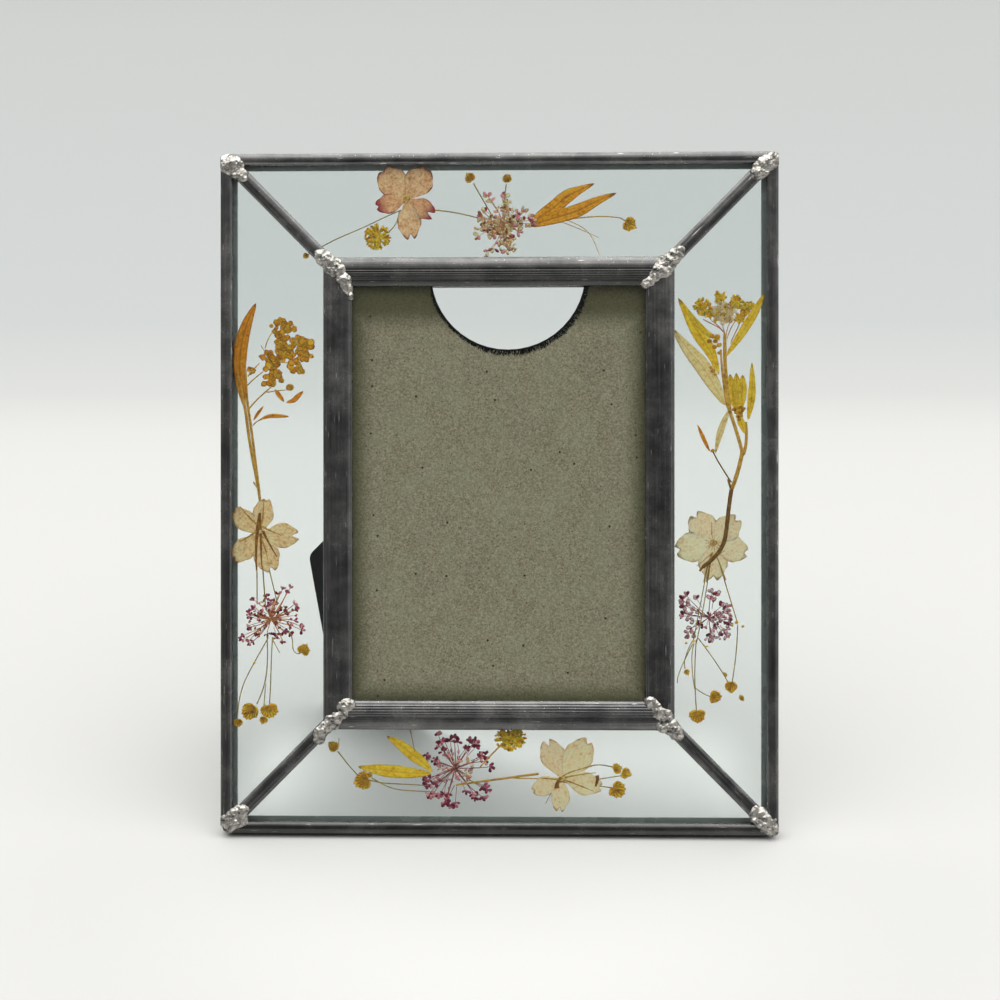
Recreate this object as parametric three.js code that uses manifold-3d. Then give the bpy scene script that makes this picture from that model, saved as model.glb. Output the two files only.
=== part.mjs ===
// Pressed flower frame: a leaded-glass picture frame whose four border panels hold pressed
// wildflowers between two panes, with a velvet-backed board and a folding easel leg.
// Units are millimetres. Everything is laid out flat first, u to the right, v up and w
// towards the viewer, and one group then leans the whole frame back on its leg.

import * as THREE from 'three';
import { mergeVertices } from 'three/addons/utils/BufferGeometryUtils.js';
import Module from 'manifold-3d';

const wasm = await Module();
wasm.setup();

// ---- driving dimensions ----

const leanDegrees = 18;
const channel = 2.25; // half the gap between a came's lips
const lipEdge = 2.5; // half the came's thickness at the edge of a lip
const outerCame = {
  halfWidth: 81, halfHeight: 99, frontLip: 3.4, rearLip: 4.6, web: 1.4, crown: 3.4, cornerRadius: 3,
};
const innerCame = { halfWidth: 42.5, halfHeight: 60.2, width: 8.5, web: 1.3, crown: 4 };
const diagonalCame = { width: 4, web: 1.2, crown: 3.3 };
const mitreGap = 0.3;
const restingCut = 0.2; // depth of the worn flat along the bottom edge
const glassClearance = 0.3;
const pane = { thickness: 1.8, slot: 0.35 }; // slot is half the gap that holds the flowers
const windowGlass = { back: 0.15, front: 2.15, edgeClearance: 0.2 };
const board = { back: -1.7, front: -0.2, edgeClearance: 0.3 };
const velvet = { back: -2.2, front: -1.75 };
const thumbNotch = { u: 2.8, v: 64.6, radius: 23.25, velvetProud: 0.7 };
const layers = { back: [-0.3, -0.04], front: [0.04, 0.3] }; // the two layers of flowers

const hinge = {
  middle: [-1.8, -1.8], centre: 3.4, length: 30, knuckles: 5, knuckleGap: 0.3,
  radius: 1.6, bore: 0.78, pin: 0.7, leaf: 0.8, leafDepth: 12, heel: 1.82, heelSeat: 1.55, swing: 0.3,
};
const boardRivetDepth = 0.9; // how far a rivet bites into the board
const rivet = { head: 1.9, rise: 0.7, shank: 0.9, hole: 1.1, seat: 0.05, spacing: 18, fromPin: 7.5 };
const leg = {
  openDegrees: 45, thickness: 2.6, gapToLeaf: 0.1, start: 2.2, rivetDepth: 1.6,
  left: -26.6, right: 33.4, landscapeCorner: [-29, 78.4], toe: [12.7, 124], heelCorner: [33.4, 104],
  rounding: 3,
};
const solder = { outerRadius: 3.1, inset: 3.3, beadLength: 11.2, beadWidth: 3.6, height: 0.8, seat: 0.1 };

const finishes = {
  came: { color: 0x5f6062, roughness: 0.5, metalness: 0.7 },
  solder: { color: 0xb9b5ac, roughness: 0.4, metalness: 0.9 },
  glass: { color: 0xdfeeee, roughness: 0.05, metalness: 0, transparent: true, opacity: 0.3 },
  board: { color: 0x7d7a68, roughness: 0.9, metalness: 0 },
  velvet: { color: 0x0c0f0e, roughness: 1, metalness: 0 },
  steel: { color: 0x9a9a98, roughness: 0.4, metalness: 1 },
};

// ---- solids ----

function manifoldOf(geometry) {
  const bare = geometry.clone();
  bare.deleteAttribute('normal');
  bare.deleteAttribute('uv');
  const merged = mergeVertices(bare, 1e-5);
  return new wasm.Manifold(new wasm.Mesh({
    numProp: 3,
    vertProperties: new Float32Array(merged.attributes.position.array),
    triVerts: new Uint32Array(merged.index.array),
  }));
}

function geometryOf(solid) {
  const mesh = solid.getMesh();
  const geometry = new THREE.BufferGeometry();
  geometry.setAttribute('position', new THREE.BufferAttribute(new Float32Array(mesh.vertProperties), 3));
  geometry.setIndex(new THREE.BufferAttribute(new Uint32Array(mesh.triVerts), 1));
  geometry.computeVertexNormals();
  return geometry;
}

function joined(solids) {
  return solids.reduce((whole, solid) => whole.add(solid));
}

function shapeOf(points) {
  return new THREE.Shape(points.map(([x, y]) => new THREE.Vector2(x, y)));
}

// A flat outline given thickness from low to high.
function plate(outline, low, high) {
  const shape = outline instanceof THREE.Shape ? outline : shapeOf(outline);
  const options = { depth: high - low, bevelEnabled: false, curveSegments: 6 };
  const geometry = new THREE.ExtrudeGeometry(shape, options);
  return manifoldOf(geometry.translate(0, 0, low));
}

function box(width, height, low, high) {
  const geometry = new THREE.BoxGeometry(width, height, high - low);
  return manifoldOf(geometry.translate(0, 0, (low + high) / 2));
}

// A round bar along Z from low to high.
function bar(x, y, radius, low, high, sides = 14) {
  const geometry = new THREE.CylinderGeometry(radius, radius, high - low, sides);
  return manifoldOf(geometry.rotateX(Math.PI / 2).translate(x, y, (low + high) / 2));
}

// A low dome standing on height low, its outline an ellipse turned by degrees.
function dome(x, y, low, height, halfLength, halfWidth, degrees = 0, sides = 10) {
  const rings = 3;
  const profile = [new THREE.Vector2(0, 0)];
  for (let i = 0; i <= rings; i += 1) {
    const turn = (i / rings) * (Math.PI / 2);
    profile.push(new THREE.Vector2(i === rings ? 0 : Math.cos(turn), Math.sin(turn)));
  }
  const geometry = new THREE.LatheGeometry(profile, sides);
  geometry.rotateX(Math.PI / 2).scale(halfLength, halfWidth, height);
  geometry.rotateZ(THREE.MathUtils.degToRad(degrees)).translate(x, y, low);
  return manifoldOf(geometry);
}

// ---- the group that leans back, and its pieces ----

const frame = new THREE.Group();
frame.rotation.x = THREE.MathUtils.degToRad(90 - leanDegrees);

function addPiece(name, solid, finish, parent = frame) {
  const material = new THREE.MeshStandardMaterial({ ...finish, flatShading: true });
  const mesh = new THREE.Mesh(geometryOf(solid), material);
  mesh.name = name;
  parent.add(mesh);
  return mesh;
}

// The floor, seen from inside a group: a slab just under the height of the resting flats.
const lean = THREE.MathUtils.degToRad(leanDegrees);
const floorLevel = -outerCame.halfHeight * Math.cos(lean) - lipEdge * Math.sin(lean) + restingCut;

function floorIn(matrixOfGroup) {
  const slab = new THREE.BoxGeometry(600, 600, 60).translate(0, 0, floorLevel - 30);
  slab.applyMatrix4(matrixOfGroup.clone().invert());
  return manifoldOf(slab);
}

// ---- lead cames ----

function crownArc(from, to, edge, crown, steps = 8) {
  const points = [];
  for (let i = 0; i <= steps; i += 1) {
    const turn = Math.PI * (i / steps);
    const across = (from + to) / 2 - ((to - from) / 2) * Math.cos(turn);
    points.push([across, edge + (crown - edge) * Math.sin(turn)]);
  }
  return points;
}

// U-shaped section, its closed edge at 0 and its lips reaching inwards (negative).
function edgeSection({ frontLip, rearLip, web, crown }) {
  return [
    [-web, channel], [-frontLip, channel],
    ...crownArc(-frontLip, 0, lipEdge, crown),
    ...crownArc(0, -rearLip, -lipEdge, -crown),
    [-rearLip, -channel], [-web, -channel],
  ];
}

// H-shaped section, centred on 0.
function middleSection({ width, web, crown }) {
  const lip = width / 2;
  const half = web / 2;
  return [
    [-half, channel], [-lip, channel],
    ...crownArc(-lip, lip, lipEdge, crown),
    [lip, channel], [half, channel], [half, -channel], [lip, -channel],
    ...crownArc(lip, -lip, -lipEdge, -crown),
    [-lip, -channel], [-half, -channel],
  ];
}

// A length of came whose section's across axis points along outward, centred on (u, v).
function cameLength(section, length, [u, v], outward) {
  const across = new THREE.Vector3(outward[0], outward[1], 0).normalize();
  const thickness = new THREE.Vector3(0, 0, 1);
  const along = new THREE.Vector3().crossVectors(across, thickness);
  const geometry = new THREE.ExtrudeGeometry(shapeOf(section), { depth: length, bevelEnabled: false });
  geometry.translate(0, 0, -length / 2);
  geometry.applyMatrix4(new THREE.Matrix4().makeBasis(across, thickness, along).setPosition(u, v, 0));
  return manifoldOf(geometry);
}

// The mitred plan of a bar between an outer and an inner rectangle, on the side that faces outward.
function mitredPlan([outward, sideways], outerHalf, innerHalf) {
  const inset = (mitreGap / 2) * Math.SQRT2;
  const reach = 4; // how far the plan passes the outer edge, so that only the mitres cut
  const out = [outerHalf[0] + reach, outerHalf[1] + reach];
  const extent = (half, axis) => Math.abs(half[0] * axis[0] + half[1] * axis[1]);
  const point = (half, side) => {
    const far = extent(half, outward);
    const wide = (extent(half, sideways) - inset) * side;
    return [far * outward[0] + wide * sideways[0], far * outward[1] + wide * sideways[1]];
  };
  return [point(innerHalf, -1), point(innerHalf, 1), point(out, 1), point(out, -1)];
}

const sides = {
  top: [[0, 1], [1, 0]], right: [[1, 0], [0, 1]], bottom: [[0, -1], [1, 0]], left: [[-1, 0], [0, 1]],
};

function roundedRectangle(halfWidth, halfHeight, radius) {
  const shape = new THREE.Shape();
  const corners = [[1, 1], [-1, 1], [-1, -1], [1, -1]];
  corners.forEach(([x, y], i) => {
    const start = (i * Math.PI) / 2;
    const centre = [x * (halfWidth - radius), y * (halfHeight - radius)];
    shape.absarc(...centre, radius, start, start + Math.PI / 2, false);
  });
  return shape;
}

function addOuterCames() {
  const { halfWidth, halfHeight, rearLip, cornerRadius } = outerCame;
  const outerHalf = [halfWidth, halfHeight];
  const innerHalf = [halfWidth - rearLip - 1, halfHeight - rearLip - 1];
  const rounding = plate(roundedRectangle(halfWidth, halfHeight, cornerRadius), -6, 6);
  frame.updateMatrixWorld(true);
  for (const [side, axes] of Object.entries(sides)) {
    const outward = axes[0];
    const centre = [outward[0] * halfWidth, outward[1] * halfHeight];
    const length = cameLength(edgeSection(outerCame), 2 * (halfWidth + halfHeight), centre, outward);
    const plan = plate(mitredPlan(axes, outerHalf, innerHalf), -6, 6);
    const solid = length.intersect(plan).intersect(rounding);
    addPiece(`outer_came_${side}`, solid.subtract(floorIn(frame.matrixWorld)), finishes.came);
  }
}

function addInnerCames() {
  const { halfWidth, halfHeight, width } = innerCame;
  const outerHalf = [halfWidth + width, halfHeight + width];
  for (const [side, axes] of Object.entries(sides)) {
    const outward = axes[0];
    const centre = [outward[0] * (halfWidth + width / 2), outward[1] * (halfHeight + width / 2)];
    const length = cameLength(middleSection(innerCame), 2 * (outerHalf[0] + outerHalf[1]), centre, outward);
    const plan = plate(mitredPlan(axes, outerHalf, [halfWidth - 1, halfHeight - 1]), -6, 6);
    addPiece(`inner_came_${side}`, length.intersect(plan), finishes.came);
  }
}

// The diagonals run from the inner came's corner to the rear lip's corner.
const diagonalStart = [innerCame.halfWidth + innerCame.width, innerCame.halfHeight + innerCame.width];
const diagonalEnd = [outerCame.halfWidth - outerCame.rearLip, outerCame.halfHeight - outerCame.rearLip];
const diagonalRun = [diagonalEnd[0] - diagonalStart[0], diagonalEnd[1] - diagonalStart[1]];
const diagonalLength = Math.hypot(...diagonalRun);
const corners = { top_right: [1, 1], top_left: [-1, 1], bottom_left: [-1, -1], bottom_right: [1, -1] };

function addDiagonalCames() {
  const trim = 0.1;
  const half = diagonalCame.width / 2;
  const [a, b] = diagonalStart.map((value) => value + trim);
  const [c, d] = diagonalEnd.map((value) => value - trim);
  const alongV = (half * diagonalLength) / diagonalRun[0];
  const alongU = (half * diagonalLength) / diagonalRun[1];
  const outline = [[a, b], [a, b - alongV], [c, d - alongV], [c, d], [c - alongU, d], [a - alongU, b]];
  for (const [name, [x, y]] of Object.entries(corners)) {
    const centre = [x * (diagonalStart[0] + diagonalRun[0] / 2), y * (diagonalStart[1] + diagonalRun[1] / 2)];
    const across = [-y * diagonalRun[1], x * diagonalRun[0]];
    const length = cameLength(middleSection(diagonalCame), diagonalLength + 12, centre, across);
    const plan = plate(outline.map(([u, v]) => [x * u, y * v]), -6, 6);
    addPiece(`diagonal_came_${name}`, length.intersect(plan), finishes.came);
  }
}

// Solder on the face of each joint: a spot at the outer corners, a bead along the inner mitres.
function addSolder() {
  const spot = [outerCame.halfWidth - solder.inset, outerCame.halfHeight - solder.inset];
  const mitre = [innerCame.halfWidth + innerCame.width / 2, innerCame.halfHeight + innerCame.width / 2];
  const { outerRadius, beadLength, beadWidth, height, seat } = solder;
  for (const [name, [x, y]] of Object.entries(corners)) {
    const spotSolid = dome(x * spot[0], y * spot[1], outerCame.crown + seat, height, outerRadius, outerRadius);
    addPiece(`solder_outer_${name}`, spotSolid, finishes.solder);
    const low = innerCame.crown + seat;
    const bead = dome(x * mitre[0], y * mitre[1], low, height, beadLength / 2, beadWidth / 2, 45 * x * y);
    addPiece(`solder_inner_${name}`, bead, finishes.solder);
  }
}

// ---- glass, board and velvet ----

// The four corners of a border pane, which reaches into the cames' channels.
function panePlan(side) {
  const upright = side === 'left' || side === 'right';
  const [main, other] = upright ? [0, 1] : [1, 0];
  const outerHalf = [outerCame.halfWidth, outerCame.halfHeight][main];
  const innerHalf = [innerCame.halfWidth, innerCame.halfHeight][main];
  const far = outerHalf - outerCame.web - glassClearance;
  const near = innerHalf + (innerCame.width + innerCame.web) / 2 + glassClearance;
  const offset = ((diagonalCame.web / 2 + 0.2) * diagonalLength) / diagonalRun[main];
  const slope = diagonalRun[other] / diagonalRun[main];
  const reach = (distance) => diagonalStart[other] + (distance - diagonalStart[main]) * slope - offset;
  const facing = side === 'top' || side === 'right' ? 1 : -1;
  const plan = [[near, -reach(near)], [far, -reach(far)], [far, reach(far)], [near, reach(near)]];
  return plan.map(([out, across]) => (upright ? [out * facing, across] : [across, out * facing]));
}

function addBorderGlass() {
  for (const side of Object.keys(sides)) {
    const plan = panePlan(side);
    const far = pane.slot + pane.thickness;
    addPiece(`glass_${side}_front`, plate(plan, pane.slot, far), finishes.glass);
    addPiece(`glass_${side}_back`, plate(plan, -far, -pane.slot), finishes.glass);
  }
}

function windowSize(clearance) {
  const lip = (innerCame.width - innerCame.web) / 2 - clearance;
  return [2 * (innerCame.halfWidth + lip), 2 * (innerCame.halfHeight + lip)];
}

const hingeHeight = velvet.back - 0.1 - hinge.radius; // w of the hinge pin
const boardRivets = [-1, 1].map((side) => [hinge.centre + (side * rivet.spacing) / 2, -rivet.fromPin]);

// From the hinge's own axes (p along the pin, q down the leg) to the flat frame's u and v.
function onBoard([p, q]) {
  return [hinge.middle[0] + (p - q) * Math.SQRT1_2, hinge.middle[1] - (p + q) * Math.SQRT1_2];
}

function addWindow() {
  const [glassWidth, glassHeight] = windowSize(windowGlass.edgeClearance);
  addPiece('window_glass', box(glassWidth, glassHeight, windowGlass.back, windowGlass.front), finishes.glass);
  const [width, height] = windowSize(board.edgeClearance);
  const { u, v, radius, velvetProud } = thumbNotch;
  const sheets = [
    ['backing_board', board, radius, board.back + boardRivetDepth + 0.15],
    ['backing_velvet', velvet, radius - velvetProud, velvet.front + 1],
  ];
  for (const [name, { back, front }, cut, holeTop] of sheets) {
    let sheet = box(width, height, back, front).subtract(bar(u, v, cut, back - 1, front + 1, 48));
    for (const place of boardRivets) {
      sheet = sheet.subtract(bar(...onBoard(place), rivet.hole, back - 1, holeTop));
    }
    addPiece(name, sheet, name === 'backing_board' ? finishes.board : finishes.velvet);
  }
}

// ---- easel hinge and leg ----

// p runs along the pin, q down the leg, and the third axis points away from the board.
const hingeGroup = new THREE.Group();
hingeGroup.position.set(...hinge.middle, hingeHeight);
hingeGroup.quaternion.setFromRotationMatrix(new THREE.Matrix4().makeBasis(
  new THREE.Vector3(Math.SQRT1_2, -Math.SQRT1_2, 0),
  new THREE.Vector3(-Math.SQRT1_2, -Math.SQRT1_2, 0),
  new THREE.Vector3(0, 0, -1),
));
frame.add(hingeGroup);

const legGroup = new THREE.Group();
legGroup.rotation.x = THREE.MathUtils.degToRad(leg.openDegrees);
hingeGroup.add(legGroup);

// A round bar along the pin, between two stations of p.
function alongPin(radius, from, to) {
  const geometry = new THREE.CylinderGeometry(radius, radius, to - from, 14);
  return manifoldOf(geometry.rotateZ(Math.PI / 2).translate((from + to) / 2, 0, 0));
}

function slabAt(p0, p1, q0, q1, low, high) {
  return plate([[p0, q0], [p1, q0], [p1, q1], [p0, q1]], low, high);
}

// Each leaf has every other knuckle. side is -1 for the board leaf and 1 for the leg's.
function hingeLeaf(side, knuckleParity) {
  const { centre, length, knuckles, knuckleGap, radius, leaf, leafDepth, bore, heel, heelSeat, swing } = hinge;
  const start = centre - length / 2;
  const step = length / knuckles;
  const low = side < 0 ? -radius : radius - leaf;
  const clear = side < 0 ? heelSeat : radius + swing;
  const parts = [slabAt(start, start + length, side * clear, side * leafDepth, low, low + leaf)];
  for (let i = knuckleParity; i < knuckles; i += 2) {
    const from = start + i * step + knuckleGap / 2;
    const to = from + step - knuckleGap;
    parts.push(alongPin(radius, from, to));
    const heelEnd = side < 0 ? 0 : -heel;
    parts.push(slabAt(from, to, heelEnd, side * (clear + 1), low, low + leaf));
  }
  let solid = joined(parts).subtract(alongPin(bore, start - 1, start + length + 1));
  for (const cut of [-1, 1]) {
    const p = centre + (cut * rivet.spacing) / 2;
    solid = solid.subtract(bar(p, side * rivet.fromPin, rivet.hole, low - 1, low + leaf + 1));
  }
  return solid;
}

// A rivet whose head lies on height at and whose shank runs on by depth; up is the head's side.
function rivetAt([p, q], at, depth, up) {
  const head = dome(p, q, at + rivet.seat, rivet.rise, rivet.head, rivet.head, 0, 12);
  const shank = bar(p, q, rivet.shank, at - depth, at + rivet.seat + 0.3, 12);
  const solid = head.add(shank);
  return up > 0 ? solid : solid.mirror([0, 0, 1]);
}

function addHinge() {
  const { centre, length, radius, leaf, pin } = hinge;
  addPiece('hinge_board_leaf', hingeLeaf(-1, 0), finishes.steel, hingeGroup);
  addPiece('hinge_leg_leaf', hingeLeaf(1, 1), finishes.steel, legGroup);
  const pinEnd = length / 2 + 0.5;
  addPiece('hinge_pin', alongPin(pin, centre - pinEnd, centre + pinEnd), finishes.steel, hingeGroup);
  const intoBoard = leaf + 0.1 + (board.back - velvet.back) + boardRivetDepth;
  boardRivets.forEach((place, i) => {
    addPiece(`rivet_board_${i + 1}`, rivetAt(place, leaf - radius, intoBoard, 1), finishes.steel, hingeGroup);
    const intoLeg = leaf + leg.gapToLeaf + leg.rivetDepth - 0.2;
    const onLeg = rivetAt([place[0], rivet.fromPin], leaf - radius, intoLeg, -1);
    addPiece(`rivet_leg_${i + 1}`, onLeg, finishes.steel, legGroup);
  });
}

// The leg's outline: a straight hinge edge, a foot for the upright stand (cut by the floor)
// and a second foot edge for standing the frame on its side.
function legOutline() {
  const { left, right, start, landscapeCorner, toe, heelCorner, rounding } = leg;
  const [x, y] = landscapeCorner;
  const shape = new THREE.Shape();
  shape.moveTo(left, start);
  shape.lineTo(right, start);
  shape.lineTo(...heelCorner);
  shape.lineTo(...toe);
  shape.lineTo(x + rounding * 0.7, y + rounding * 0.7);
  shape.quadraticCurveTo(x, y, x + rounding * 0.03, y - rounding);
  return shape;
}

function addLeg() {
  const low = hinge.radius + leg.gapToLeaf;
  let solid = plate(legOutline(), low, low + leg.thickness);
  for (const [p] of boardRivets) {
    solid = solid.subtract(bar(p, rivet.fromPin, rivet.hole, low - 1, low + leg.rivetDepth));
  }
  frame.updateMatrixWorld(true);
  addPiece('easel_leg', solid.subtract(floorIn(legGroup.matrixWorld)), finishes.velvet, legGroup);
}

// ---- pressed plants: each is one thin piece in one of two layers between the panes ----

// A star-shaped outline: rays is a list of { turn, profile }, where profile holds the ray's
// half widths along it, and the valleys between the rays lie on the middle's edge.
function starOutline([u, v, radius, squash = 1], rays) {
  const sorted = [...rays].sort((a, b) => a.turn - b.turn);
  return sorted.flatMap(({ turn, profile }, i) => {
    const place = ([along, across]) => [
      u + along * Math.cos(turn) - across * Math.sin(turn),
      v + along * Math.sin(turn) + across * Math.cos(turn),
    ];
    const next = i + 1 < sorted.length ? sorted[i + 1].turn : sorted[0].turn + 2 * Math.PI;
    const valley = (turn + next) / 2;
    const right = profile.map(([along, half]) => place([along, -half]));
    const left = profile.map(([along, half]) => place([along, half])).reverse();
    return [...right, ...left, [u + radius * Math.cos(valley), v + radius * squash * Math.sin(valley)]];
  });
}

function stemOutline(points, width) {
  const edge = (sign) => points.map((point, i) => {
    const before = points[Math.max(i - 1, 0)];
    const after = points[Math.min(i + 1, points.length - 1)];
    const run = [after[0] - before[0], after[1] - before[1]];
    const scale = (sign * width) / 2 / Math.hypot(...run);
    return [point[0] - run[1] * scale, point[1] + run[0] * scale];
  });
  return [...edge(-1), ...edge(1).reverse()];
}

function discOutline([u, v, radius, squash = 1]) {
  const count = 7;
  return Array.from({ length: count }, (_, i) => {
    const turn = (2 * Math.PI * i) / count;
    return [u + radius * Math.cos(turn), v + radius * squash * Math.sin(turn)];
  });
}

// A lacy flower head: each outlying floret is the blunt end of a ray from the middle.
function lace(middle, florets, size = 0.9) {
  const rays = florets.map(([u, v]) => {
    const reach = Math.hypot(u - middle[0], v - middle[1]);
    const profile = [[reach - size, size], [reach + size, size / 2]];
    return { turn: Math.atan2(v - middle[1], u - middle[0]), profile };
  });
  return starOutline(middle, rays);
}

// A flower of flat petals, each given by its direction in degrees, length and width.
const petalWidths = [[0.35, 0.31], [0.7, 0.5], [0.92, 0.36], [1, 0.1]];

function flower([u, v], petals) {
  const rays = petals.map(([degrees, length, width]) => ({
    turn: THREE.MathUtils.degToRad(degrees),
    profile: petalWidths.map(([t, half]) => [t * length, half * width]),
  }));
  return [starOutline([u, v, 1.8], rays)];
}

const tan = 0xbd9a68;
const maroon = 0x5a2030;
const gold = 0xc89a2c;
const olive = 0x8a7434;

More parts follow.
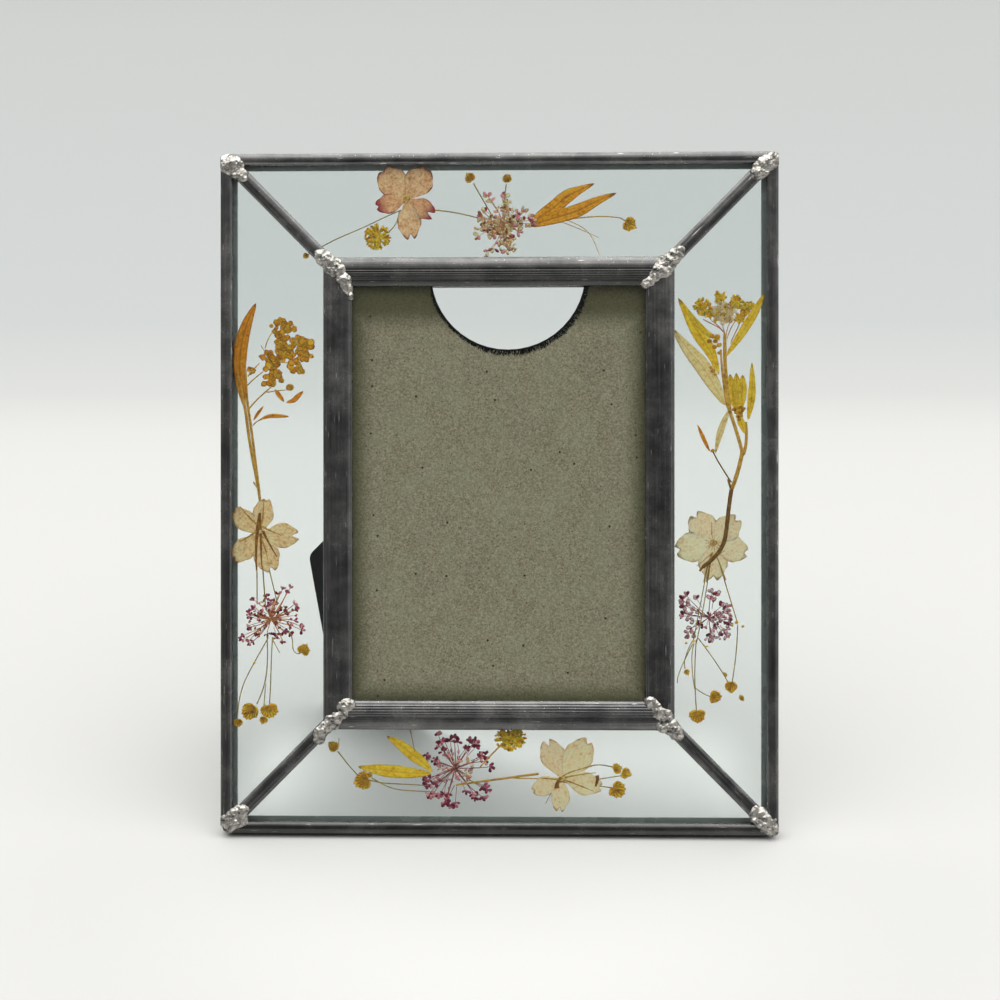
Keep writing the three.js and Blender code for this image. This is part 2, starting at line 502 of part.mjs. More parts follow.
const specimens = {
  verbena_top: ['front', tan, () => flower(
    [-26.8, 85.7], [[127, 12, 7], [59, 12, 7.3], [191, 9, 5], [333, 8.8, 5], [275, 11.1, 6.1]],
  )],
  verbena_left: ['front', tan, () => flower(
    [-69.9, -12], [[79, 10.8, 5.3], [134, 11.5, 5], [224, 11.5, 5.3], [358, 12, 6.1], [289, 11.7, 7]],
  )],
  verbena_right: ['back', tan, () => flower(
    [62.4, -14.4], [[123, 10.2, 7.6], [191, 11.4, 8.5], [270, 10.8, 8.5], [343, 10.5, 7], [46, 10.2, 7.3]],
  )],
  verbena_bottom: ['front', tan, () => flower(
    [18.7, -83], [[114, 12, 7], [54, 12.8, 8.2], [348, 11.7, 7], [264, 9.6, 4.7], [200, 9, 5.3]],
  )],
  lace_top: ['front', tan, () => [
    lace([1.5, 78.6, 7, 0.85], [[-3.2, 86.6], [2, 86.6], [8, 82], [-3, 70.2], [2.5, 70.6], [-6, 74.6]]),
    stemOutline([[-2.2, 81.6], [-5.2, 86.6], [-8.4, 92]], 0.7), discOutline([-8.4, 92, 1.8]),
    stemOutline([[1.6, 84], [2.5, 91.7]], 0.7), discOutline([2.5, 91.7, 1.8]),
  ]],
  lace_left: ['back', maroon, () => [
    lace([-66.5, -36.7, 3.2], [
      [-62, -27.6], [-68, -29.5], [-71.8, -30.9], [-73.1, -35.4], [-59.2, -33], [-74.6, -41.4], [-72.5, -43.4],
      [-57.4, -39.5], [-60.5, -41], [-62.9, -43.4],
    ]),
    stemOutline([[-70.6, -19.3], [-70.5, -32.4], [-67, -36]], 0.8),
    stemOutline([[-68.9, -23.2], [-68, -31.9], [-67, -36]], 0.8),
  ]],
  lace_right: ['back', maroon, () => [lace([61.1, -36, 3.2], [
    [53.9, -30.8], [57.5, -30.4], [62.6, -28.8], [66.5, -33.3], [53.4, -35], [66.8, -37.5], [55.6, -40.3],
    [62, -41.8], [65.7, -40.8],
  ])]],
  lace_bottom: ['back', maroon, () => [
    lace([-12.6, -80.1, 4], [
      [-17.1, -71.8], [-12.9, -71.3], [-6.8, -72.2], [-4.2, -76.6], [-20.8, -77.2], [-20.8, -83.6],
      [-19.4, -88], [-14, -90.8], [-7.4, -88], [-4, -86],
    ]),
    stemOutline([[-12.6, -80.1], [-11.4, -85], [-3.5, -83.7], [3.2, -82.8], [11.9, -83.2]], 1.3),
  ]],
  leaves_top: ['back', gold, () => [
    [[10.3, 80.3], [13.9, 83.6], [18.2, 87.3], [22.3, 89.1], [27.8, 90.1], [23.6, 87], [17.6, 81.9], [11, 79]],
    [[8.9, 77.2], [9.6, 79.4], [16.6, 81.9], [20.6, 84.4], [25.6, 85.8], [34.2, 87.3], [30.3, 83.6],
      [26.6, 81.1], [20.6, 79.6], [10.9, 78.6]],
  ]],
  leaves_bottom: ['front', gold, () => [
    [[-32.3, -70.9], [-29.2, -74.6], [-26.7, -77.4], [-23.9, -79.3], [-19.4, -82], [-18.8, -80.8],
      [-24.3, -75.7], [-29.2, -72.3]],
    [[-40.6, -79.9], [-35.7, -81.9], [-27.1, -82.7], [-19.4, -82], [-19.2, -81], [-27.1, -79.6],
      [-35.7, -79.3]],
    stemOutline([[-25.8, -68.9], [-25, -73.2], [-24, -77.2]], 0.7),
  ]],
  sprig_left: ['back', gold, () => [
    [[-71, 55.5], [-75.5, 47.5], [-76.8, 38.3], [-75.7, 29.9], [-74.2, 24.6], [-73.4, 25], [-73.2, 41.9],
      [-72, 50.9]],
    stemOutline([[-74, 26], [-73.5, 18.5], [-72.3, 10.3], [-70.4, 3], [-69.5, -1.4]], 1),
    stemOutline([[-74, 34], [-69.9, 38.1], [-66, 39.8], [-59.3, 38], [-56.6, 40], [-56.3, 43.7]], 0.7),
    stemOutline([[-67.3, 39.6], [-68, 43], [-66, 47.3], [-63.4, 50.2]], 0.7),
    stemOutline([[-67.6, 46.6], [-62.9, 46.3], [-60.2, 48.6]], 0.7),
    stemOutline([[-62.9, 46.3], [-61.7, 42.9], [-59.4, 43.7]], 0.7),
    stemOutline([[-74, 31.2], [-71.1, 34], [-66.8, 33.6], [-66.1, 36.8]], 0.7),
    stemOutline([[-73.7, 24], [-71.1, 27.4], [-68, 29.6], [-61.2, 30.8]], 0.7),
    stemOutline([[-65.3, 30.8], [-62.6, 26.7], [-60.9, 26.9], [-57.2, 29.7]], 1.3),
    stemOutline([[-73.2, 18.6], [-69.4, 21.9], [-66.8, 22.5], [-61.4, 22.5]], 1.2),
    ...[[-63.3, 50, 1.4], [-60.6, 48.4, 1.3], [-62.9, 46.3, 2], [-61.7, 42.9, 1.5], [-58.8, 44, 1.5],
      [-56.3, 43.7, 1.8], [-56.6, 40, 1.8], [-59.3, 37.6, 1.5], [-66.3, 39.7, 2.4], [-66.3, 36, 1.5],
      [-66.8, 33.4, 2], [-61, 31, 1.2]].map(discOutline),
  ]],
  sprig_right: ['front', olive, () => [
    [[52.3, 56.6], [52.7, 53], [56.3, 44.2], [61, 36.4], [65.8, 36], [65.6, 42], [61.5, 45.7], [56, 52]],
    [[50.6, 48.1], [50.7, 43.9], [55.3, 37.1], [60.5, 31.7], [66.3, 25.2], [65.7, 27.8], [61.3, 35.6],
      [56.3, 42.6]],
    [[76.9, 58], [72.7, 52.3], [68.3, 44.2], [65.4, 40], [66.5, 39], [71.7, 47.3], [77.2, 55.9]],
    [[66, 33.7], [66.3, 24.4], [69.9, 22], [72, 23.6], [70.9, 33.7]],
    [[73.6, 37.7], [72.2, 30], [71.5, 24], [72.5, 22.6], [73.3, 23.1], [74.4, 34.8]],
    [[66.6, 25], [64.9, 21], [63.8, 17.3], [62.4, 12.4], [63.5, 12], [64.6, 15], [66.1, 19.1], [68.2, 23]],
    stemOutline([[65.4, 46.3], [65.7, 34.8], [66.4, 24.6]], 1.2),
    stemOutline([[57.9, 19.7], [59.4, 16.5], [63.2, 12.4]], 1.2),
    stemOutline([[63, 12.8], [64.2, 8.3], [68.9, 4.4]], 0.7),
    stemOutline([[68, 24], [69.8, 16.9], [70.9, 10.6]], 0.9),
    stemOutline([[71.3, 23.4], [72.4, 16.9], [72, 13.1], [70.8, 10.6]], 0.9),
    stemOutline([[71, 11.2], [69.8, 6.5], [67.9, 2], [66.9, -2.5], [65.9, -12.9], [62, -19.8]], 1.1),
    lace([65.4, 46.3, 0.8], [[59, 54.2], [64.2, 57], [68.8, 55.6], [72.5, 53]], 1.8),
  ]],
  buds_top_left: ['back', gold, () => [
    stemOutline([[-52.2, 71.8], [-47.6, 74.4], [-39, 77.7], [-33, 80.8], [-28.9, 82.7]], 0.7),
    stemOutline([[-29.4, 82.4], [-18.2, 83.5], [-11.2, 81.8], [-6.2, 80.3]], 0.7),
    stemOutline([[-35, 75.2], [-31.6, 76.5], [-29.5, 78], [-28.9, 83]], 0.7), discOutline([-35.3, 75, 3.6]),
  ]],
  buds_top_right: ['front', olive, () => [
    stemOutline([[15.3, 79.1], [26.6, 80.9], [31.6, 80.9], [38, 78.8]], 0.8), discOutline([38, 78.3, 2]),
    stemOutline([[18.2, 79.6], [22.3, 77.6], [29.3, 74.4]], 0.6),
    stemOutline([[19.6, 80], [24.5, 78.4], [27.4, 74.4], [29.3, 69.5]], 0.6),
  ]],
  buds_left: ['front', gold, () => [
    stemOutline([[-68.5, -43.6], [-72.8, -51.7], [-76.2, -58.5], [-76.3, -67.2]], 0.7),
    stemOutline([[-68.7, -43.6], [-67.3, -51.7], [-67.5, -55.1], [-72.6, -63.8]], 0.7),
    stemOutline([[-67.3, -51.2], [-66.5, -55.6], [-66.8, -63.8]], 0.7),
    stemOutline([[-69, -44.2], [-60.5, -42], [-59, -46.4], [-56.7, -45.5]], 0.7),
    ...[[-76.3, -67.2, 1.3], [-72.6, -63.8, 2.3], [-66.8, -63.8, 2], [-56.7, -45.5, 1.6]].map(discOutline),
  ]],
  buds_right: ['front', gold, () => [
    stemOutline([[64.8, -22.3], [60.5, -22.9], [58.1, -34.9], [57.1, -43]], 0.8),
    stemOutline([[64.2, -22], [67.9, -32.5], [69.1, -38], [69.3, -44.7], [67.3, -56.3]], 0.8),
    stemOutline([[57, -42.4], [62, -47.3], [66.7, -54.6], [67.3, -56.8]], 0.7),
    stemOutline([[57.2, -42], [56.9, -52.1], [57.7, -64.9]], 0.8),
    stemOutline([[56.6, -56.5], [59, -58.2], [62.9, -59.1]], 0.7),
    stemOutline([[57.4, -42.6], [53.6, -49.4], [51.3, -53], [52, -55.1]], 0.6),
    ...[[67.3, -56.3, 1.9], [57.7, -64.9, 2.2], [62.9, -59.1, 1.9]].map(discOutline),
  ]],
  buds_bottom_left: ['back', gold, () => [
    stemOutline([[-48.2, -74], [-45.3, -77.2], [-41.2, -82.1], [-39.5, -84]], 0.8),
    stemOutline([[-40, -83.8], [-33.5, -84.7], [-24.4, -85.1]], 0.8),
    discOutline([-48.2, -74, 1.8]), discOutline([-39.5, -83.8, 2.3]),
  ]],
  buds_bottom_right: ['back', gold, () => [
    stemOutline([[13.7, -90.3], [15.6, -86.6], [19.7, -81.1], [26.5, -79.3], [34.6, -80.1]], 0.7),
    stemOutline([[22.4, -80.8], [30.2, -83], [37.2, -81.4]], 0.7),
    stemOutline([[23.6, -80.4], [29.9, -85.3], [34.7, -86.3]], 0.7),
    ...[[34.4, -79.8, 1.3], [37.4, -81.6, 1.4], [34.7, -86.3, 2.3]].map(discOutline),
  ]],
  cluster_bottom: ['front', gold, () => [
    discOutline([3.5, -71.6, 4, 0.78]), stemOutline([[1.4, -72.4], [-2.2, -76.1], [-5.7, -80.1]], 0.9),
  ]],
};

function addSpecimens() {
  for (const [name, [layer, color, outlines]] of Object.entries(specimens)) {
    const solid = joined(outlines().map((outline) => plate(outline, ...layers[layer])));
    addPiece(name, solid, { color, roughness: 0.8, metalness: 0 });
  }
}

// ---- the whole frame, stood on the floor with its origin at the bottom centre ----

addOuterCames();
addInnerCames();
addDiagonalCames();
addSolder();
addBorderGlass();
addWindow();
addHinge();
addLeg();
addSpecimens();

const wholeFrame = new THREE.Group();
wholeFrame.add(frame);
wholeFrame.updateMatrixWorld(true);
const extent = new THREE.Box3().setFromObject(wholeFrame, true);
frame.position.set(-(extent.min.x + extent.max.x) / 2, -(extent.min.y + extent.max.y) / 2, -extent.min.z);
wholeFrame.updateMatrixWorld(true);

export default wholeFrame;
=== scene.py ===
import math
import random

import bpy
from mathutils import Matrix, Vector, noise


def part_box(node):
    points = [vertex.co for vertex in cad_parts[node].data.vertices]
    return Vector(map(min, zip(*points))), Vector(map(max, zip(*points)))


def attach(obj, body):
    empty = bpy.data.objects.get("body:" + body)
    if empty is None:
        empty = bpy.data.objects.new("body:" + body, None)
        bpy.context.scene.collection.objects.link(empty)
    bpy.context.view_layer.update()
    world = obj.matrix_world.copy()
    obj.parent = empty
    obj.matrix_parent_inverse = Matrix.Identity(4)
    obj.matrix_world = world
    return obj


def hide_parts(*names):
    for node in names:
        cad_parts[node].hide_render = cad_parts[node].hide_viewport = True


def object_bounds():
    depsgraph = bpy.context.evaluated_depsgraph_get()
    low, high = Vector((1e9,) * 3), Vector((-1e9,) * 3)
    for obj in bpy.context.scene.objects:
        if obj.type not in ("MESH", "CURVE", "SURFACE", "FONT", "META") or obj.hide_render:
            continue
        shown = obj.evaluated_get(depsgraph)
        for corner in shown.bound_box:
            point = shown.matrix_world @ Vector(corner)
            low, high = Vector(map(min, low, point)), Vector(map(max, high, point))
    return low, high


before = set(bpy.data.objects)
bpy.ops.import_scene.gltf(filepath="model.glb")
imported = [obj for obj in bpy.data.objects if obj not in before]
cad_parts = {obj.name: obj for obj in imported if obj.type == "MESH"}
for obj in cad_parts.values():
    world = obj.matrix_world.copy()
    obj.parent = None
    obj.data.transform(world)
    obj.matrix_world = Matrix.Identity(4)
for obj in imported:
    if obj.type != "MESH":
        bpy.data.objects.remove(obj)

cadLow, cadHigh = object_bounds()
mm = 0.001

# Every piece is made flat on the bench, x across and y up the frame in millimetres with z towards the viewer,
# and is then stood up to lean back as the frame does.
leaning = {"degrees": 18, "windowGlassDepth": 1.15}
uprightTurn = Matrix.Rotation(math.radians(90 - leaning["degrees"]), 4, "X")
windowLow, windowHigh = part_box("window_glass")
windowCentre = (Vector(windowLow) + Vector(windowHigh)) / 2
benchOrigin = windowCentre - uprightTurn @ Vector((0, 0, leaning["windowGlassDepth"] * mm))
standing = Matrix.Translation(benchOrigin) @ uprightTurn


def only(piece):
    bpy.ops.object.select_all(action="DESELECT")
    piece.select_set(True)
    bpy.context.view_layer.objects.active = piece


def modified(piece, kind, **settings):
    only(piece)
    modifier = piece.modifiers.new(kind, kind)
    for name, value in settings.items():
        setattr(modifier, name, value)
    bpy.ops.object.modifier_apply(modifier=modifier.name)


def inEditMode(piece, *steps):
    only(piece)
    bpy.ops.object.mode_set(mode="EDIT")
    bpy.ops.mesh.select_all(action="SELECT")
    for step in steps:
        step()
    bpy.ops.object.mode_set(mode="OBJECT")


def facesOut():
    bpy.ops.mesh.normals_make_consistent(inside=False)


def joined(name, parts):
    bpy.ops.object.select_all(action="DESELECT")
    for part in parts:
        part.select_set(True)
    bpy.context.view_layer.objects.active = parts[0]
    if len(parts) > 1:
        bpy.ops.object.join()
    parts[0].name = parts[0].data.name = name
    return parts[0]


def layDown(mesh, values):
    # where each point is on its own piece: along, across and a tint that differs from piece to piece
    lay = mesh.attributes.new("lay", "FLOAT_VECTOR", "POINT")
    lay.data.foreach_set("vector", [number for value in values for number in value])


def settle(piece, body, slotName, *nodes):
    only(piece)
    piece.matrix_world = standing @ piece.matrix_world
    bpy.ops.object.transform_apply(location=True, rotation=True, scale=True)
    rideOn(piece, body, slotName, *nodes)


def rideOn(piece, body, slotName, *nodes):
    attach(piece, body)
    if nodes:
        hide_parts(*nodes)


# A rod is a cylinder cut into rings along its length; each point then goes where place(along, side) says.
def rod(name, rings, sides, place, finish):
    bpy.ops.object.select_all(action="DESELECT")
    bpy.ops.mesh.primitive_cylinder_add(vertices=sides, radius=1, depth=1)
    piece = bpy.context.object
    mesh = piece.data
    for group in (mesh.vertices, mesh.edges, mesh.polygons):
        group.foreach_set("select", [False] * len(group))
    for edge in mesh.edges:
        low, high = (mesh.vertices[i].co.z for i in edge.vertices)
        edge.select = abs(high - low) > 0.5
    bpy.context.tool_settings.mesh_select_mode = (False, True, False)
    bpy.ops.object.mode_set(mode="EDIT")
    bpy.ops.mesh.subdivide(number_cuts=rings - 2)
    bpy.ops.object.mode_set(mode="OBJECT")
    lay = []
    for vertex in mesh.vertices:
        along = vertex.co.z + 0.5
        side = round((math.atan2(vertex.co.y, vertex.co.x) / math.tau - 0.25) * sides) % sides
        spot, own = place(along, side)
        vertex.co = Vector(spot) * mm
        lay.append(own)
    layDown(mesh, lay)
    mesh.materials.append(finish)
    inEditMode(piece, facesOut)
    piece.name = mesh.name = name
    return piece


# A leafy sheet is a grid whose points go where place(along, across) says, across running from -1 to 1.
def leafySheet(along, across, place, finish, tint=0.0):
    bpy.ops.object.select_all(action="DESELECT")
    bpy.ops.mesh.primitive_grid_add(x_subdivisions=along, y_subdivisions=across, size=1)
    piece = bpy.context.object
    lay = []
    for vertex in piece.data.vertices:
        t, s = vertex.co.x + 0.5, vertex.co.y * 2
        vertex.co = Vector(place(t, s)) * mm
        lay.append((t, s, tint))
    layDown(piece.data, lay)
    piece.data.materials.append(finish)
    return piece


def stamped(master, finish, u, v, w, turn=0.0, size=(1, 1, 1), tint=0.0):
    twin = master.copy()
    twin.data = master.data.copy()
    bpy.context.collection.objects.link(twin)
    scale = Matrix.Diagonal(Vector((*size, 1)))
    twin.matrix_world = Matrix.Translation(Vector((u, v, w)) * mm) @ Matrix.Rotation(turn, 4, "Z") @ scale
    twin.data.materials.clear()
    twin.data.materials.append(finish)
    for item in twin.data.attributes["lay"].data:
        item.vector = (item.vector[0], item.vector[1], tint)
    return twin


# Strands are round stems or fibres, each drawn through its points with its own start and end radius.
def strands(lines, finish, flatness=1.0, depth=0.0, sides=2, steps=5):
    curve = bpy.data.curves.new("strands", "CURVE")
    curve.dimensions, curve.bevel_depth, curve.bevel_resolution = "3D", mm, sides
    curve.use_fill_caps = True
    curve.resolution_u = steps
    for startRadius, endRadius, points in lines:
        spline = curve.splines.new("NURBS")
        spline.points.add(len(points) - 1)
        for i, point in enumerate(points):
            w = point[2] if len(point) > 2 else depth
            spline.points[i].co = (point[0] * mm, point[1] * mm, w * mm, 1)
            spline.points[i].radius = startRadius + (endRadius - startRadius) * i / (len(points) - 1)
        spline.order_u = min(4, len(points))
        spline.use_endpoint_u = True
    piece = bpy.data.objects.new("strands", curve)
    bpy.context.collection.objects.link(piece)
    only(piece)
    bpy.ops.object.convert(target="MESH")
    piece = bpy.context.object
    if flatness < 1:
        for vertex in piece.data.vertices:
            vertex.co.z = depth * mm + (vertex.co.z - depth * mm) * flatness
    piece.data.materials.clear()
    piece.data.materials.append(finish)
    inEditMode(piece, facesOut)
    return piece


def eased(value):
    value = min(1.0, max(0.0, value))
    return value * value * (3 - 2 * value)


def throughPoints(points, t):
    # a smooth line through the points, with the direction it runs in at t
    reach = t * (len(points) - 1)
    i = min(int(reach), len(points) - 2)
    local = reach - i
    before, start = points[max(i - 1, 0)], points[i]
    end, after = points[i + 1], points[min(i + 2, len(points) - 1)]
    spot, slope = [], []
    for a, b, c, d in zip(before, start, end, after):
        m0, m1 = (c - a) / 2, (d - b) / 2
        spot.append(b + local * (m0 + local * (3 * (c - b) - 2 * m0 - m1 + local * (2 * (b - c) + m0 + m1))))
        slope.append(m0 + local * (2 * (3 * (c - b) - 2 * m0 - m1) + local * 3 * (2 * (b - c) + m0 + m1)))
    length = math.hypot(*slope) or 1
    return spot, [part / length for part in slope]


def linear(hexCode):
    parts = [int(hexCode[i:i + 2], 16) / 255 for i in (1, 3, 5)]
    return (*[part / 12.92 if part <= 0.04045 else ((part + 0.055) / 1.055) ** 2.4 for part in parts], 1.0)


def addNode(tree, kind, settings=None, links=None):
    node = tree.nodes.new(kind)
    for name, value in (settings or {}).items():
        if name == "stops":
            ramp = node.color_ramp
            while len(ramp.elements) < len(value):
                ramp.elements.new(0.5)
            for element, (position, colour) in zip(ramp.elements, value):
                element.position, element.color = position, linear(colour)
        else:
            setattr(node, name, value)
    for socket, source in (links or {}).items():
        if isinstance(source, bpy.types.NodeSocket):
            tree.links.new(source, node.inputs[socket])
        else:
            node.inputs[socket].default_value = source
    return node


# settings that many nodes share
smooth, ofColours = {"interpolation_type": "SMOOTHSTEP"}, {"data_type": "RGBA"}
multiply, multiplyAdd, maximum = ({"operation": kind} for kind in ("MULTIPLY", "MULTIPLY_ADD", "MAXIMUM"))


# A finish starts with the bench coordinates in millimetres and ends in one Principled shader.
def startFinish(name):
    finish = bpy.data.materials.new(name)
    finish.use_nodes = True
    tree = finish.node_tree
    tree.nodes.clear()
    place = addNode(tree, "ShaderNodeTexCoord")
    turnBack = uprightTurn.to_3x3().inverted()
    bench = addNode(tree, "ShaderNodeMapping", links={
        "Vector": place.outputs["Object"], "Scale": (1 / mm,) * 3,
        "Rotation": turnBack.to_euler(), "Location": -(turnBack @ benchOrigin) / mm})
    return finish, tree, bench.outputs["Vector"]


def endFinish(tree, links, height=None, bump=None):
    if height is not None:
        relief = addNode(tree, "ShaderNodeBump", links={
            "Height": height, "Strength": bump[0], "Distance": bump[1] * mm})
        links = {**links, "Normal": relief.outputs["Normal"]}
    shader = addNode(tree, "ShaderNodeBsdfPrincipled", links=links)
    return addNode(tree, "ShaderNodeOutputMaterial", links={"Surface": shader.outputs["BSDF"]})


def drawnLeadCame():
    # lead came pulled through a die: dark patina, fine lines along the length, pale rubs and nicks
    look = {"dark": "#464647", "body": "#626262", "dull": "#7c7b79", "rub": "#dedcd6",
            "lineSpacing": 0.5, "lineStretch": 0.03, "rubSize": 9.0, "gritPerMm": 1.7,
            "scratchScale": (0.09, 1.9, 1), "scratchSlant": 0.22, "scratchFrom": (0.71, 0.78),
            # the last colour on the next line and the share after it are the painted shade laid on the foot and
            # the top came
            "speckFrom": (0.7, 0.78), "nickSpacing": 2.1, "nickShade": 0.55, "paintedShade": "#343433",
            "paintedShadeShare": 0.6, "paintedWallLight": "#b4b8b6", "paintedWallDepth": 2.25, "paintedWallReach": 0.12,
            "reliefStrength": 0.25, "reliefHeight": 0.06}
    # painted shade: where it is gone and where it is full, in millimetres from the frame's middle
    paintedShadeEdges = {"side": (49.0, 46.5), "windowTop": (59.0, 61.0), "cameTop": (67.4, 65.4),
                  "foot": (-92.0, -95.5)}
    # nicks: (scale, slant, radius, share left out), round ones and then long thin slanting ones
    nicks = (((1, 1), 0, 0.07, 0.72), ((0.16, 1.5), 0.5, 0.09, 0.8))
    finish, tree, bench = startFinish("drawnLeadCame")
    lay = addNode(tree, "ShaderNodeAttribute", {"attribute_name": "lay"}).outputs["Vector"]
    stretch = addNode(tree, "ShaderNodeMapping", links={
        "Vector": lay, "Scale": (look["lineStretch"], 1 / look["lineSpacing"], 1)})
    lines = addNode(tree, "ShaderNodeTexNoise", links={
        "Vector": stretch.outputs["Vector"], "Scale": 1.0, "Detail": 3.0, "Roughness": 0.6}).outputs["Fac"]
    cloud = addNode(tree, "ShaderNodeTexNoise", links={
        "Vector": bench, "Scale": 1 / look["rubSize"], "Detail": 5.0, "Roughness": 0.62}).outputs["Fac"]
    grit = addNode(tree, "ShaderNodeTexNoise", links={
        "Vector": bench, "Scale": look["gritPerMm"], "Detail": 3.0, "Roughness": 0.7}).outputs["Fac"]
    scratchLay = addNode(tree, "ShaderNodeMapping", links={
        "Vector": lay, "Scale": look["scratchScale"], "Rotation": (0, 0, look["scratchSlant"])})
    scratches = addNode(tree, "ShaderNodeTexNoise", links={
        "Vector": scratchLay.outputs["Vector"], "Scale": 1.4, "Detail": 2.0}).outputs["Fac"]
    patina = 0.07
    for layer, share in ((lines, 0.36), (cloud, 0.38), (grit, 0.12)):
        patina = addNode(tree, "ShaderNodeMath", multiplyAdd, {0: layer, 1: share, 2: patina}).outputs[0]
    colour = addNode(tree, "ShaderNodeValToRGB", {"stops": [
        (0.38, look["dark"]), (0.5, look["body"]), (0.62, look["dull"])]}, {"Fac": patina}).outputs["Color"]
    rubbed = addNode(tree, "ShaderNodeMapRange", smooth, {
        "Value": scratches, "From Min": look["scratchFrom"][0], "From Max": look["scratchFrom"][1]})
    speck = addNode(tree, "ShaderNodeMapRange", smooth, {
        "Value": grit, "From Min": look["speckFrom"][0], "From Max": look["speckFrom"][1]})
    worn = addNode(tree, "ShaderNodeMath", maximum, {
        0: rubbed.outputs["Result"], 1: speck.outputs["Result"]}).outputs[0]
    for scale, slant, radius, leftOut in nicks:
        nickLay = addNode(tree, "ShaderNodeMapping", links={
            "Vector": lay, "Scale": (scale[0] / look["nickSpacing"], scale[1] / look["nickSpacing"], 1),
            "Rotation": (0, 0, slant)})
        cell = addNode(tree, "ShaderNodeTexVoronoi", {"voronoi_dimensions": "2D"}, {
            "Vector": nickLay.outputs["Vector"], "Scale": 1.0})
        nick = addNode(tree, "ShaderNodeMapRange", smooth, {
            "Value": cell.outputs["Distance"], "From Min": radius, "From Max": radius * 0.3,
            "To Max": look["nickShade"]})
        chance = addNode(tree, "ShaderNodeSeparateColor", links={"Color": cell.outputs["Color"]})
        kept = addNode(tree, "ShaderNodeMath", {"operation": "GREATER_THAN"}, {
            0: chance.outputs[0], 1: leftOut})
        nick = addNode(tree, "ShaderNodeMath", multiply, {0: nick.outputs["Result"], 1: kept.outputs[0]})
        worn = addNode(tree, "ShaderNodeMath", maximum, {0: worn, 1: nick.outputs[0]}).outputs[0]
    colour = addNode(tree, "ShaderNodeMix", ofColours, {
        0: worn, 6: colour, 7: linear(look["rub"])}).outputs[2]
    # painted shade on the lower half of the came over the top edge of the window and along the foot
    axes = addNode(tree, "ShaderNodeSeparateXYZ", links={"Vector": bench})
    beside = addNode(tree, "ShaderNodeMath", {"operation": "ABSOLUTE"}, {0: axes.outputs["X"]}).outputs[0]
    shares = {}
    for edge, (gone, full) in paintedShadeEdges.items():
        shares[edge] = addNode(tree, "ShaderNodeMapRange", smooth, {
            "Value": beside if edge == "side" else axes.outputs["Y"], "From Min": gone,
            "From Max": full}).outputs["Result"]
    over = addNode(tree, "ShaderNodeMath", multiply, {0: shares["side"], 1: shares["windowTop"]})
    over = addNode(tree, "ShaderNodeMath", multiply, {0: over.outputs[0], 1: shares["cameTop"]})
    paintedShade = addNode(tree, "ShaderNodeMath", maximum, {0: over.outputs[0], 1: shares["foot"]})
    paintedShade = addNode(tree, "ShaderNodeMath", multiply, {0: paintedShade.outputs[0], 1: look["paintedShadeShare"]})
    colour = addNode(tree, "ShaderNodeMix", ofColours, {
        0: paintedShade.outputs[0], 6: colour, 7: linear(look["paintedShade"])}).outputs[2]
    # the channel's rear wall, behind the glass, is painted pale and less metallic: painted light where it lies
    # in shade
    paintedWallLight = addNode(tree, "ShaderNodeMath", {"operation": "COMPARE"}, {
        0: axes.outputs["Z"], 1: -look["paintedWallDepth"], 2: look["paintedWallReach"]})
    colour = addNode(tree, "ShaderNodeMix", ofColours, {
        0: paintedWallLight.outputs[0], 6: colour, 7: linear(look["paintedWallLight"])}).outputs[2]
    metal = addNode(tree, "ShaderNodeMapRange", links={"Value": paintedWallLight.outputs[0], "To Min": 0.9, "To Max": 0.2})
    rough = addNode(tree, "ShaderNodeMapRange", links={
        "Value": cloud, "From Min": 0.3, "From Max": 0.7, "To Min": 0.18, "To Max": 0.32})
    height = addNode(tree, "ShaderNodeMath", multiplyAdd, {0: grit, 1: 0.12, 2: lines})
    endFinish(tree, {"Base Color": colour, "Metallic": metal.outputs["Result"],
                     "Roughness": rough.outputs["Result"]},
              height.outputs[0], (look["reliefStrength"], look["reliefHeight"]))
    return finish


def meltedSolder():
    # tin and lead melted onto the joint: bright skin, grey oxide and black flux in the pits
    look = {"bright": "#bdbab3", "grey": "#7b7975", "pit": "#262422", "crumbsPerMm": 0.75, "finePerMm": 4.5,
            "reliefStrength": 0.35, "reliefHeight": 0.12}
    finish, tree, bench = startFinish("meltedSolder")
    crumbs = addNode(tree, "ShaderNodeTexNoise", links={
        "Vector": bench, "Scale": look["crumbsPerMm"], "Detail": 5.0, "Roughness": 0.6}).outputs["Fac"]
    fine = addNode(tree, "ShaderNodeTexNoise", links={
        "Vector": bench, "Scale": look["finePerMm"], "Detail": 4.0, "Roughness": 0.7}).outputs["Fac"]
    blend = addNode(tree, "ShaderNodeMath", multiplyAdd, {0: fine, 1: 0.4, 2: 0.0})
    blend = addNode(tree, "ShaderNodeMath", multiplyAdd, {0: crumbs, 1: 0.6, 2: blend.outputs[0]})
    colour = addNode(tree, "ShaderNodeValToRGB", {"stops": [
        (0.39, look["pit"]), (0.45, look["grey"]), (0.58, look["bright"])]}, {
            "Fac": blend.outputs[0]}).outputs["Color"]
    rough = addNode(tree, "ShaderNodeMapRange", links={
        "Value": blend.outputs[0], "From Min": 0.35, "From Max": 0.65, "To Min": 0.5, "To Max": 0.26})
    endFinish(tree, {"Base Color": colour, "Metallic": 1.0, "Roughness": rough.outputs["Result"]},
              blend.outputs[0], (look["reliefStrength"], look["reliefHeight"]))
    return finish


